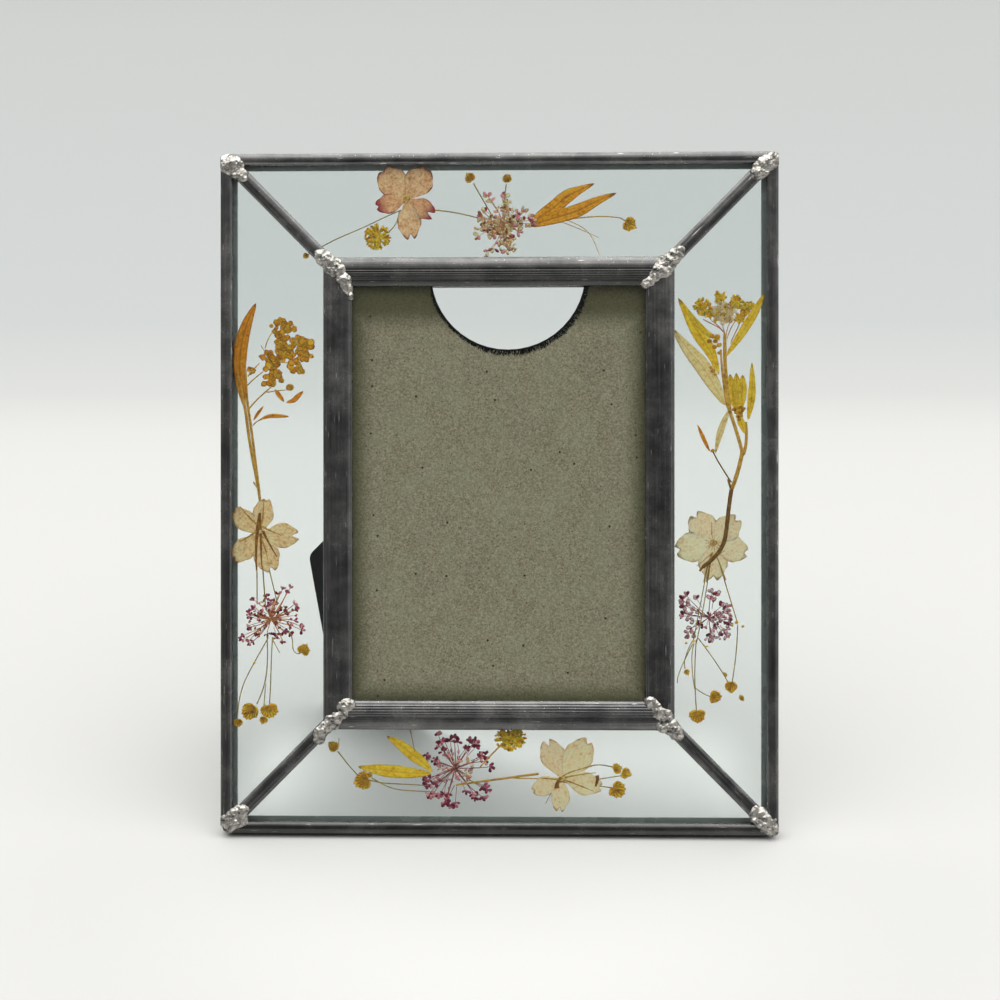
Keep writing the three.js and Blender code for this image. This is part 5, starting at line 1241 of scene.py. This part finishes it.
# stems are (start radius, end radius, points); blades are (width, peak, finish, midrib);
# heads are (across, up, direction, radius, sepals, spread); blossoms and grains are (across, up, radius)
greens = {
    "leaves_top": {
        "depth": back, "slot": "pressed_leaf",
        "blades": [
            (4.1, 0.36, "leafAmber", [(9.6, 79.0), (15.4, 82.8), (19.7, 86.3), (23.2, 88.2), (27.9, 90.2)]),
            (3.9, 0.42, "leafAmber", [(8.9, 77.9), (16.2, 80.2), (22.6, 82.2), (28.2, 84.9), (34.3, 87.4)])],
        "stem": "stemStraw",
        "stems": [
            (0.2, 0.14, [(15.3, 79.1), (26.6, 80.9), (31.6, 80.9), (35.7, 80.1)]),
            (0.13, 0.08, [(18.2, 79.1), (22.3, 77.6), (26.3, 75.9), (29.3, 74.4)]),
            (0.13, 0.08, [(20.3, 79.4), (23.9, 78.1), (26.6, 75.9), (28.0, 73.2), (29.3, 69.5)])]},
    "leaves_bottom": {
        "depth": front, "slot": "pressed_leaf",
        "blades": [
            (
                3.3, 0.5, "leafYellow",
                [(-19.2, -81.2), (-21.9, -78.6), (-25.4, -75.9), (-28.9, -73.1), (-32.6, -70.8)]),
            (
                3.7, 0.48, "leafYellow",
                [(-19.6, -81.6), (-25.2, -81.5), (-31.2, -81.0), (-36.2, -80.4), (-40.9, -79.8)])],
        "stem": "stemOlive",
        "stems": [(0.16, 0.12, [(-25.9, -68.7), (-25.1, -70.8), (-25.0, -73.2), (-24.3, -75.3)])]},
    "sprig_left": {
        "depth": back, "slot": "pressed_leaf",
        "blades": [
            (
                4.0, 0.5, "leafGold",
                [(-74.2, 25.0), (-75.6, 33.5), (-75.4, 42.0), (-73.6, 49.5), (-70.9, 55.7)]),
            (1.5, 0.5, "leafGold", [(-62.0, 26.6), (-60.0, 27.2), (-58.4, 28.6), (-57.1, 29.9)]),
            (1.3, 0.5, "leafGold", [(-65.4, 30.4), (-64.0, 28.6), (-62.7, 26.9)]),
            (0.9, 0.5, "leafGold", [(-71.6, 21.4), (-70.4, 23.3), (-68.7, 25.5)]),
            (1.2, 0.6, "leafGold", [(-70.4, 21.2), (-66.8, 22.6), (-61.2, 22.5)])],
        "stem": "stemStraw",
        "stems": [
            (
                0.45, 0.4,
                [
                    (-76.4, 35.5), (-75.2, 29.4), (-73.9, 25.0), (-73.3, 18.5), (-72.0, 10.3), (-70.4, 3.0),
                    (-69.5, -3.2), (-68.9, -8.0)]),
            (
                0.36, 0.42,
                [
                    (-74.0, 36.5), (-73.8, 32.3), (-73.6, 27.4), (-72.8, 22.6), (-72.0, 17.0), (-70.9, 8.0),
                    (-69.9, 0.0)]),
            (0.2, 0.16, [(-73.3, 34.2), (-71.4, 36.6), (-69.9, 38.1)]),
            (0.2, 0.15, [(-73.4, 31.6), (-71.1, 34.0), (-68.7, 35.7)]),
            (0.24, 0.2, [(-73.1, 24.5), (-71.1, 27.4), (-68.0, 29.6), (-65.6, 32.0)]),
            (0.18, 0.14, [(-67.7, 29.6), (-64.8, 30.0), (-62.1, 30.3)]),
            (0.18, 0.13, [(-68.2, 42.4), (-67.7, 45.1), (-65.8, 47.5)]),
            (0.16, 0.12, [(-69.4, 43.2), (-68.5, 41.9)]),
            (0.18, 0.14, [(-67.0, 38.4), (-63.4, 38.6), (-60.2, 38.0)]),
            (0.2, 0.16, [(-71.8, 19.7), (-71.4, 20.6), (-70.2, 21.3)]),
            (0.16, 0.24, [(-70.0, 1.0), (-71.0, 2.2), (-71.6, 3.4)])],
        "blossoms": [
            (-63.6, 50.2, 1.7), (-60.9, 48.5, 1.6), (-62.9, 46.3, 2.1), (-61.7, 42.9, 2.0),
            (-59.0, 44.1, 2.0), (-56.3, 43.7, 2.2), (-56.6, 40.4, 2.2), (-59.3, 37.4, 1.9),
            (-64.9, 39.6, 2.0), (-67.3, 39.6, 2.2), (-66.3, 36.4, 1.8), (-64.8, 34.7, 1.8),
            (-66.8, 33.2, 1.9), (-57.9, 35.9, 1.4), (-72.4, 36.2, 1.2), (-62.6, 40.4, 1.8),
            (-57.6, 42.0, 1.9), (-65.4, 37.9, 1.7), (-64.9, 47.4, 1.5), (-63.4, 43.8, 1.6),
            (-60.6, 40.6, 1.5), (-64.0, 41.6, 1.5), (-62.4, 48.6, 1.4)],
        "blossomFinish": (("blossomOrange", "blossomOrange", "blossomAmber"), "budBrown"),
        "grains": [
            (-66.3, 49.0, 0.7), (-63.4, 33.0, 0.95), (-60.9, 31.0, 1.25), (-69.4, 40.1, 0.7),
            (-64.6, 44.6, 0.8), (-63.3, 44.9, 0.7), (-62.2, 47.8, 0.6), (-65.8, 31.6, 0.7)],
        "grainFinish": "budBrown"},
    "sprig_right": {
        "depth": front, "slot": "pressed_leaf",
        "blades": [
            (3.9, 0.5, "leafYellow", [(64.0, 34.6), (61.8, 40.6), (59.0, 45.2), (55.8, 50.4), (52.2, 56.8)]),
            (1.7, 0.5, "leafYellow", [(64.4, 44.4), (60.6, 46.6), (57.6, 49.6), (55.0, 53.4)]),
            (4.5, 0.45, "leafKhaki", [(65.9, 25.6), (62.5, 31.6), (58.8, 37.4), (54.6, 42.4), (50.5, 47.9)]),
            (2.5, 0.5, "leafYellow", [(65.9, 39.6), (69.0, 44.2), (72.4, 49.4), (75.2, 54.2), (77.1, 58.2)]),
            (2.4, 0.62, "leafYellow", [(69.4, 22.6), (68.2, 26.4), (67.6, 30.4), (67.2, 34.6)]),
            (2.6, 0.62, "leafYellow", [(69.8, 22.4), (69.4, 26.4), (69.2, 30.6), (69.0, 34.9)]),
            (2.5, 0.62, "leafYellow", [(70.2, 22.6), (70.6, 26.4), (70.8, 30.4), (70.8, 34.4)]),
            (2.2, 0.45, "leafYellow", [(72.4, 21.4), (73.3, 27.0), (73.6, 32.0), (73.5, 38.0)]),
            (2.1, 0.5, "leafYellow", [(71.4, 17.4), (70.8, 19.6), (70.0, 21.6), (69.6, 23.8)]),
            (1.9, 0.5, "leafKhaki", [(67.2, 24.6), (65.4, 20.8), (64.0, 16.6), (63.0, 11.8)]),
            (1.1, 0.5, "leafGold", [(61.3, 12.2), (59.6, 15.8), (57.8, 19.9)])],
        "stem": "stemStraw",
        "stems": [
            (0.5, 0.62, [(65.7, 46.3), (65.6, 40.0), (65.9, 34.8), (66.6, 27.0), (67.2, 23.4)]),
            (0.3, 0.4, [(64.5, 41.8), (64.8, 34.8), (65.8, 28.0), (66.6, 24.8)]),
            (0.5, 0.5, [(67.2, 23.6), (68.6, 19.4), (69.9, 15.6), (70.6, 12.2)]),
            (0.4, 0.5, [(71.7, 20.8), (72.2, 16.9), (71.9, 13.6), (71.0, 11.2)]),
            (0.6, 0.6, [(70.9, 12.8), (69.9, 7.4), (68.4, 2.6), (67.4, 0.8)])],
        "more": [
            (
                "stemBrown",
                [
                    (
                        0.6, 0.55,
                        [
                            (67.6, 1.2), (67.0, -2.5), (66.4, -8.1), (65.9, -12.9), (64.9, -15.9),
                            (62.6, -18.9), (59.4, -21.3)]),
                    (0.22, 0.2, [(62.3, 12.2), (63.4, 9.6), (65.2, 6.8), (67.6, 3.2)]),
                    (0.3, 0.4, [(66.6, 4.2), (67.0, 2.6), (67.6, 1.2)])]),
            (
                "rayTan",
                [
                    (0.16, 0.14, [(59.4, 50.6), (62.2, 48.9), (64.2, 48.7), (65.7, 46.2)]),
                    (0.14, 0.14, [(61.8, 50.2), (63.6, 49.2), (65.7, 46.4)]),
                    (0.14, 0.12, [(64.4, 50.4), (65.2, 48.2), (65.8, 46.2)]),
                    (0.15, 0.13, [(70.4, 50.6), (69.4, 47.6), (67.9, 45.4), (67.4, 43.6)]),
                    (0.15, 0.13, [(69.0, 50.4), (67.2, 48.2), (66.4, 45.0)]),
                    (0.13, 0.12, [(67.6, 50.2), (66.4, 48.8), (66.0, 45.6)])])],
        "blossoms": [
            (64.1, 54.6, 1.5), (65.7, 54.0, 1.5), (67.3, 54.4, 1.4), (64.5, 52.4, 1.5), (66.2, 51.9, 1.5),
            (67.6, 52.6, 1.4), (63.2, 51.2, 1.3), (65.2, 50.4, 1.3), (67.2, 50.6, 1.2), (62.6, 53.4, 1.3),
            (64.9, 56.0, 1.2)],
        "blossomFinish": (("grainPale", "petalWarm", "grainYellow"), "floretRust"),
        "ragged": [
            (59.2, 54.2, 2.6), (61.2, 52.2, 1.7), (64.2, 57.2, 1.9), (69.0, 55.6, 2.1), (71.4, 53.6, 2.0),
            (70.0, 51.0, 1.6), (73.0, 54.6, 1.3)],
        "grains": [
            (62.1, 45.7, 0.8), (63.6, 45.5, 0.9), (61.3, 44.2, 0.8), (64.1, 43.1, 0.8), (62.8, 42.6, 0.8),
            (64.1, 40.8, 0.6), (63.0, 44.2, 0.8), (62.3, 35.6, 0.8), (61.8, 36.6, 0.6), (63.0, 34.6, 0.6),
            (69.0, 23.6, 0.7), (70.2, 23.4, 0.8), (69.6, 22.4, 0.8), (70.8, 24.0, 0.6), (62.2, 12.4, 0.7),
            (68.4, 24.4, 0.7), (69.4, 24.8, 0.7), (70.4, 24.9, 0.7), (71.2, 24.6, 0.6), (69.8, 21.4, 0.7),
            (70.4, 22.6, 0.7)],
        "grainFinish": "budBrown"},
    "buds_top_left": {
        "depth": back, "slot": "pressed_bud", "stem": "stemOlive",
        "stems": [
            (0.16, 0.14, [(-33.4, 75.8), (-31.6, 76.5), (-29.5, 77.8), (-28.9, 82.5)]),
            (
                0.15, 0.15,
                [(-56.0, 69.6), (-51.8, 72.0), (-47.6, 74.4), (-39.0, 77.7), (-33.0, 80.8), (-28.9, 82.5)]),
            (0.2, 0.18, [(-28.9, 82.5), (-18.2, 83.5), (-11.2, 81.8), (-4.8, 80.0)])],
        "ragged": [(-35.3, 75.0, 3.7)], "heads": [(-56.3, 69.4, 225, 0.9, 5, 120)]},
    "buds_top_right": {
        "depth": front, "slot": "pressed_bud", "stem": "stemOlive",
        "stems": [
            (0.2, 0.16, [(-7.3, 90.4), (-5.2, 86.6), (-2.2, 81.6)]),
            (0.16, 0.14, [(2.3, 90.2), (2.0, 88.3), (1.7, 85.0), (1.4, 80.8)]),
            (0.16, 0.14, [(-5.0, 82.8), (-3.6, 81.2), (-2.0, 79.8)]),
            (0.15, 0.16, [(35.2, 80.2), (36.4, 79.6), (37.2, 78.9)])],
        "heads": [
            (-8.4, 92.1, 128, 1.5, 7, 130), (2.5, 91.8, 92, 1.4, 7, 120), (38.2, 78.2, 330, 1.9, 9, 150)]},
    "buds_left": {
        "depth": front, "slot": "pressed_bud", "stem": "stemOlive",
        "stems": [
            (0.17, 0.17, [(-70.6, -19.3), (-70.5, -32.4)]), (0.2, 0.18, [(-68.9, -21.2), (-68.0, -33.9)]),
            (0.17, 0.16, [(-67.0, -22.1), (-64.6, -31.9)]),
            (0.16, 0.15, [(-67.2, -42.0), (-68.7, -44.8), (-72.8, -51.7), (-76.0, -58.5), (-76.3, -65.8)]),
            (0.18, 0.16, [(-67.6, -41.5), (-67.2, -51.7), (-67.6, -55.1), (-70.6, -61.6)]),
            (0.17, 0.15, [(-66.0, -42.0), (-66.6, -51.7), (-66.4, -55.6), (-66.9, -61.4)]),
            (0.14, 0.14, [(-68.0, -55.5), (-68.5, -61.9)]), (0.13, 0.1, [(-66.0, -42.6), (-63.9, -46.6)]),
            (
                0.15, 0.14,
                [
                    (-60.9, -40.4), (-59.9, -42.8), (-60.4, -44.9), (-59.3, -47.0), (-57.9, -46.9),
                    (-56.9, -45.9)])],
        "heads": [
            (-76.1, -67.1, 265, 1.4, 6, 120), (-72.6, -63.7, 232, 2.5, 10, 120),
            (-66.8, -63.7, 285, 2.3, 10, 150), (-68.6, -66.2, 262, 1.3, 6, 110),
            (-56.7, -45.4, 60, 1.6, 9, 170)],
        "grains": [(-71.2, -49.4, 0.45)], "grainFinish": "budGold"},
    "buds_right": {
        "depth": front, "slot": "pressed_bud", "stem": "stemOlive",
        "stems": [
            (0.15, 0.14, [(61.0, -19.4), (59.3, -28.9), (58.1, -34.9), (56.6, -42.8)]),
            (0.16, 0.15, [(61.4, -20.9), (59.9, -31.3), (58.7, -37.8), (57.4, -43.6)]),
            (0.16, 0.15, [(64.2, -20.3), (66.1, -27.4), (67.9, -32.5), (69.2, -37.2)]),
            (0.16, 0.14, [(69.4, -38.0), (69.3, -44.7), (68.5, -50.6), (67.7, -55.3)]),
            (0.15, 0.14, [(58.0, -42.0), (62.0, -47.3), (64.9, -51.5), (66.7, -55.0)]),
            (0.14, 0.14, [(56.9, -56.2), (59.0, -58.2), (61.6, -59.0)]),
            (0.16, 0.15, [(57.4, -42.4), (57.1, -47.6), (56.9, -52.1), (57.1, -58.1), (57.5, -63.4)]),
            (0.14, 0.13, [(56.8, -43.4), (55.8, -46.4), (56.0, -50.6), (56.9, -56.6)]),
            (0.14, 0.13, [(56.2, -43.0), (53.3, -48.5), (54.2, -51.0)]),
            (0.14, 0.11, [(56.4, -43.6), (53.6, -49.4), (51.6, -53.0), (52.0, -55.1)])],
        "heads": [
            (67.4, -56.2, 262, 1.8, 8, 130), (63.0, -59.1, 350, 1.8, 8, 140), (57.7, -64.9, 272, 2.1, 9, 150),
            (54.7, -51.9, 300, 0.9, 5, 120), (70.5, -59.3, 300, 1.1, 5, 60), (65.8, -52.6, 120, 0.8, 4, 70)],
        "grains": [
            (56.6, -42.9, 0.5), (54.5, -43.5, 0.4), (60.5, -44.4, 0.4), (69.1, -37.4, 0.6),
            (67.9, -38.4, 0.4), (70.9, -38.6, 0.45)],
        "grainFinish": "budGold"},
    "buds_bottom_left": {
        "depth": back, "slot": "pressed_bud", "stem": "stemOlive",
        "stems": [
            (0.2, 0.16, [(-47.0, -75.3), (-45.3, -77.2), (-43.8, -79.6), (-40.9, -82.4)]),
            (0.14, 0.1, [(-47.0, -74.8), (-46.5, -73.2), (-46.6, -71.4)]),
            (0.2, 0.15, [(-38.0, -83.6), (-35.4, -84.2), (-33.5, -84.7), (-29.2, -84.7), (-20.2, -85.2)]),
            (0.18, 0.14, [(-37.0, -83.0), (-33.9, -84.9), (-30.3, -86.5), (-27.1, -86.7), (-18.7, -87.0)])],
        "heads": [
            (-48.2, -73.9, 128, 1.7, 8, 110), (-39.8, -83.9, 196, 2.4, 11, 150),
            (-37.5, -82.2, 60, 0.9, 5, 100)]},
    "buds_bottom_right": {
        "depth": back, "slot": "pressed_bud", "stem": "stemOlive",
        "stems": [
            (0.17, 0.15, [(19.7, -81.1), (23.9, -80.1), (26.5, -79.3), (29.9, -78.6), (33.8, -79.8)]),
            (0.16, 0.14, [(26.2, -83.6), (30.2, -83.0), (36.2, -82.0)]),
            (0.16, 0.14, [(27.0, -84.6), (29.9, -85.3), (33.2, -85.6)]),
            (0.14, 0.1, [(17.2, -84.2), (15.6, -86.6), (13.7, -90.3)])],
        "heads": [
            (34.6, -80.0, 20, 1.5, 7, 130), (37.2, -81.4, 340, 1.6, 7, 140), (34.8, -86.3, 330, 2.2, 9, 160)]},
    "cluster_bottom": {
        "depth": front, "slot": "pressed_bud", "stem": "stemStraw",
        "stems": [
            (0.26, 0.18, [(1.4, -72.6), (-2.2, -76.1), (-5.7, -80.1)]),
            (
                0.26, 0.36,
                [(-12.4, -85.0), (-8.0, -84.3), (-3.5, -83.7), (3.2, -82.8), (7.7, -82.1), (11.7, -81.6)]),
            (0.2, 0.14, [(4.3, -82.9), (9.2, -83.0), (13.9, -83.0)])],
        "ragged": [(1.6, -71.4, 2.6), (5.2, -71.4, 3.0), (3.4, -72.2, 2.8)]}}


def thickened(sheets, name):
    piece = joined(name, sheets)
    modified(piece, "SOLIDIFY", thickness=pressing["paper"] * mm, offset=0)
    return piece


def pressPlant(name, sheets, solids, slotName):
    plant = joined(name + "_pressed", [thickened(sheets, name), *solids])
    room = pressing["room"] * mm
    for vertex in plant.data.vertices:  # squeezed flat between the panes
        vertex.co.z = min(max(vertex.co.z, -room), room)
    only(plant)
    bpy.ops.object.shade_smooth()
    settle(plant, "frame", slotName, name)
    print(name, len(plant.data.polygons), "faces")


# the ring of hairs at a verbena's heart
def heartMarks(centre, ring, depth, dice):
    loop = [(centre[0] + math.cos(i) * ring, centre[1] + math.sin(i) * ring, depth + 0.12)
            for i in (0, 1, 2, 3, 4, 5, 6.28, 7)]
    ticks = []
    for i in range(14):
        angle = i * math.tau / 14 + dice.uniform(-0.1, 0.1)
        ends = [(centre[0] + math.cos(angle) * reach, centre[1] + math.sin(angle) * reach, depth + 0.11)
                for reach in (ring * 1.2, ring * dice.uniform(1.9, 2.5))]
        ticks.append((0.09, 0.04, ends))
    return [("petalHeart", [(0.16, 0.16, loop)]), ("petalHeart", ticks)]


def pressVerbenas():
    for number, (name, plan) in enumerate(verbenas.items()):
        dice = random.Random(number + 40)
        (u, v), w = plan["centre"], plan["depth"]
        sheets, grains = [], []
        for i, (degrees, length, width, cleft, finishName) in enumerate(plan["petals"]):
            depth = w - 2 * pressing["petalsApart"] + pressing["petalsApart"] * i
            sheets.append(verbenaPetal((u, v), depth, math.radians(degrees), length, width, cleft,
                                       finishes[finishName], number * 7 + i))
        for i in range(16):
            angle, reach = dice.uniform(0, math.tau), plan["heart"] * math.sqrt(dice.random())
            grains.append(stamped(masters["grain"], finishes["petalHeart"], u + math.cos(angle) * reach,
                                  v + math.sin(angle) * reach, w + 0.08, angle, (0.34, 0.22, 0.05),
                                  dice.uniform(-0.2, 0.25)))
        marks = heartMarks((u, v), plan["ring"], w, dice) if "ring" in plan else []
        for finishName, lines in [*marks, *plan.get("marks", ())]:
            grains.append(strands(lines, finishes[finishName], 0.4, w + 0.1, 1, 6))
        pressPlant(name, sheets, grains, "pressed_petal")


def pressLaces():
    for number, (name, plan) in enumerate(laces.items()):
        dice = random.Random(number + 60)
        sheets, rays = laceHead(plan, plan["depth"], dice)
        pressPlant(name, sheets, rays, "pressed_lace")


# a crumpled head: sepals lying every way, with grains among them
raggedShades = {"sepals": ["budGold", "grainYellow", "grainYellow", "budBrown", "budGold", "budOlive"],
                "grains": ["budGold", "budBrown", "grainYellow"]}


def raggedHead(u, v, w, radius, dice):
    sepals, grains = [], []
    for i in range(int(radius * radius * 6) + 14):
        angle, reach = dice.uniform(0, math.tau), radius * math.sqrt(dice.random()) * 0.95 - 0.8
        finishName = dice.choice(raggedShades["sepals"])
        sepals.append(stamped(masters["sepal"], finishes[finishName], u + math.cos(angle) * reach,
                              v + math.sin(angle) * reach, w + dice.uniform(-0.1, 0.1),
                              angle + dice.uniform(-0.6, 0.6), (0.9 + radius * 0.16, 1.1 + radius * 0.2, 1.0),
                              dice.uniform(-0.3, 0.2)))
    for i in range(int(radius * 12)):
        angle, reach = dice.uniform(0, math.tau), radius * math.sqrt(dice.random())
        grains.append(stamped(masters["grain"], finishes[dice.choice(raggedShades["grains"])],
                              u + math.cos(angle) * reach, v + math.sin(angle) * reach, w, angle,
                              (0.42, 0.3, 0.1), dice.uniform(-0.25, 0.2)))
    return sepals, grains


def pressGreens():
    headFinishes = (finishes["budGold"], finishes["budBrown"])
    for number, (name, plan) in enumerate(greens.items()):
        dice = random.Random(number + 80)
        w = plan["depth"]
        sheets, solids = [], []
        for finishName, stems in [(plan["stem"], plan["stems"]), *plan.get("more", ())]:
            solids.append(strands(stems, finishes[finishName], 0.5, w, 1, 6))
        blades = plan.get("blades", ())
        for i, (width, peak, finishName, midrib) in enumerate(blades):
            depth = w + pressing["bladesApart"] * (i / max(len(blades) - 1, 1) - 0.5)
            sheets.append(leafBlade(midrib, width, peak, depth, finishes[finishName], number * 9 + i))
        for u, v, radius in plan.get("blossoms", ()):
            petalNames, grainName = plan["blossomFinish"]
            petals, grains = openBlossom(u, v, w, radius, [finishes[one] for one in petalNames],
                                         finishes[grainName], dice)
            sheets += petals
            solids += grains
        for u, v, direction, radius, count, spread in plan.get("heads", ()):
            core, *sepals = fannedHead(u, v, w, math.radians(direction), radius, count, spread,
                                       headFinishes, dice)
            solids.append(core)
            sheets += sepals
        for u, v, radius in plan.get("ragged", ()):
            sepals, grains = raggedHead(u, v, w, radius, dice)
            sheets += sepals
            solids += grains
        for u, v, radius in plan.get("grains", ()):
            solids.append(stamped(masters["grain"], finishes[plan["grainFinish"]], u, v, w, 0,
                                  (radius, radius * 0.85, 0.14), dice.uniform(-0.15, 0.2)))
        pressPlant(name, sheets, solids, plan["slot"])


pressVerbenas()
pressLaces()
pressGreens()
for master in masters.values():
    bpy.data.objects.remove(master)


# each edge of the painted light on the floor is (nothing, full), in metres from the middle of the floor under
# the frame
studio = {"floorFront": 2.2, "sweepStart": 0.34, "sweepRadius": 0.55, "wallTop": 0.05, "halfWidth": 2.6,
          "toothPerMetre": 900.0, "throughLeft": 0.85, "throughRight": 0.42, "throughReach": 0.06,
          "sideEdge": (0.085, 0.064), "frontEdge": (-0.05, -0.037), "backEdge": (0.05, 0.0),
          "thrownFrom": (0, -0.075, 0), "thrownEdge": (0.13, 0.03), "thrownMost": 1.15}


def sweepFloor():
    # seamless paper: flat under the frame, curving up behind it
    bpy.ops.object.select_all(action="DESELECT")
    bpy.ops.mesh.primitive_grid_add(x_subdivisions=4, y_subdivisions=90, size=1)
    paper = bpy.context.object
    bend = studio["sweepRadius"] * math.pi / 2
    total = studio["floorFront"] + studio["sweepStart"] + bend + studio["wallTop"]
    for vertex in paper.data.vertices:
        reach = (vertex.co.y + 0.5) * total - studio["floorFront"]
        past = reach - studio["sweepStart"]
        turn = min(max(past / studio["sweepRadius"], 0), math.pi / 2)
        y = min(reach, studio["sweepStart"]) + studio["sweepRadius"] * math.sin(turn)
        z = studio["sweepRadius"] * (1 - math.cos(turn)) + max(past - bend, 0)
        vertex.co = (vertex.co.x * 2 * studio["halfWidth"], y, z)
    paper.name = "paper_sweep"
    only(paper)
    bpy.ops.object.shade_smooth()
    finish = bpy.data.materials.new("mattPaper")
    finish.use_nodes = True
    tree = finish.node_tree
    tree.nodes.clear()
    place = addNode(tree, "ShaderNodeTexCoord")
    tooth = addNode(tree, "ShaderNodeTexNoise", links={
        "Vector": place.outputs["Object"], "Scale": studio["toothPerMetre"], "Detail": 3.0}).outputs["Fac"]
    axes = addNode(tree, "ShaderNodeSeparateXYZ", links={"Vector": place.outputs["Object"]})
    # painted shade: the paper is darker where it starts to curve up, then lighter again up the wall
    height = addNode(tree, "ShaderNodeMapRange", links={"Value": axes.outputs["Z"], "From Max": 0.2})
    colour = addNode(tree, "ShaderNodeValToRGB", {"stops": [
        (0.0, "#a6a6a5"), (0.03, "#9e9f9e"), (0.12, "#989b9b"), (0.75, "#a5a7a7")]}, {
            "Fac": height.outputs["Result"]}).outputs["Color"]
    # painted light, standing for the light through the glass, on the paper behind the frame where its shadow
    # falls, most of it at the left
    paintedLight = addNode(tree, "ShaderNodeMapRange", links={
        "Value": axes.outputs["X"], "From Min": -studio["throughReach"], "From Max": studio["throughReach"],
        "To Min": studio["throughLeft"], "To Max": studio["throughRight"]}).outputs["Result"]
    besideFrame = addNode(tree, "ShaderNodeMath", {"operation": "ABSOLUTE"}, {
        0: axes.outputs["X"]}).outputs[0]
    depthwise = axes.outputs["Y"]
    for value, edge in ((besideFrame, "sideEdge"), (depthwise, "frontEdge"), (depthwise, "backEdge")):
        share = addNode(tree, "ShaderNodeMapRange", smooth, {
            "Value": value, "From Min": studio[edge][0], "From Max": studio[edge][1]})
        paintedLight = addNode(tree, "ShaderNodeMath", multiply, {0: paintedLight, 1: share.outputs["Result"]}).outputs[0]
    # and painted light in front of the frame, standing for light coming back off its front, lifting its contact
    # shadow
    away = addNode(tree, "ShaderNodeVectorMath", {"operation": "DISTANCE"}, {
        0: place.outputs["Object"], 1: studio["thrownFrom"]}).outputs["Value"]
    paintedFrontLight = addNode(tree, "ShaderNodeMapRange", smooth, {
        "Value": away, "From Min": studio["thrownEdge"][0], "From Max": studio["thrownEdge"][1],
        "To Min": 1.0, "To Max": studio["thrownMost"]})
    paintedLight = addNode(tree, "ShaderNodeMath", {"operation": "ADD"}, {
        0: paintedLight, 1: paintedFrontLight.outputs["Result"]}).outputs[0]
    colour = addNode(tree, "ShaderNodeHueSaturation", links={"Value": paintedLight, "Color": colour}).outputs["Color"]
    endFinish(tree, {"Base Color": colour, "Roughness": 0.85, "Specular IOR Level": 0.15}, tooth, (0.05, 0.1))
    paper.data.materials.append(finish)


def lightStudio():
    # a dim room with a wide soft ceiling light and a second one high behind the frame
    room = {"walls": 0.3, "front": 0.1, "side": 0.5, "ceiling": 3.8, "from": 0.42, "to": 0.88, "back": 0.5,
            "frontEdge": (-0.98, -0.6), "sideEdge": (0.3, 0.85), "highEdge": (0.3, 0.55),
            "backEdge": (0.1, 0.6), "tone": "#fdfcfa"}
    world = bpy.data.worlds.new("studioAir")
    bpy.context.scene.world = world
    world.use_nodes = True
    tree = world.node_tree
    tree.nodes.clear()
    place = addNode(tree, "ShaderNodeTexCoord")
    axes = addNode(tree, "ShaderNodeSeparateXYZ", links={"Vector": place.outputs["Generated"]})
    facing = addNode(tree, "ShaderNodeMapRange", smooth, {
        "Value": axes.outputs["Y"], "From Min": room["frontEdge"][0], "From Max": room["frontEdge"][1],
        "To Min": room["front"], "To Max": room["walls"]})
    beside = addNode(tree, "ShaderNodeMapRange", smooth, {
        "Value": axes.outputs["X"], "From Min": room["sideEdge"][0], "From Max": room["sideEdge"][1],
        "To Max": room["side"]})
    walls = addNode(tree, "ShaderNodeMath", {"operation": "ADD"}, {
        0: facing.outputs["Result"], 1: beside.outputs["Result"]})
    ceiling = addNode(tree, "ShaderNodeMapRange", smooth, {
        "Value": axes.outputs["Z"], "From Min": room["from"], "From Max": room["to"],
        "To Min": walls.outputs[0], "To Max": room["ceiling"]})
    high = addNode(tree, "ShaderNodeMapRange", smooth, {
        "Value": axes.outputs["Z"], "From Min": room["highEdge"][0], "From Max": room["highEdge"][1]})
    behind = addNode(tree, "ShaderNodeMapRange", smooth, {
        "Value": axes.outputs["Y"], "From Min": room["backEdge"][0], "From Max": room["backEdge"][1],
        "To Max": room["back"]})
    strength = addNode(tree, "ShaderNodeMath", multiplyAdd, {
        0: high.outputs["Result"], 1: behind.outputs["Result"], 2: ceiling.outputs["Result"]})
    air = addNode(tree, "ShaderNodeBackground", links={
        "Color": linear(room["tone"]), "Strength": strength.outputs[0]})
    addNode(tree, "ShaderNodeOutputWorld", links={"Surface": air.outputs["Background"]})


sweepFloor()
lightStudio()
bpy.context.scene.view_settings.view_transform = "Standard"
print("studio lit")
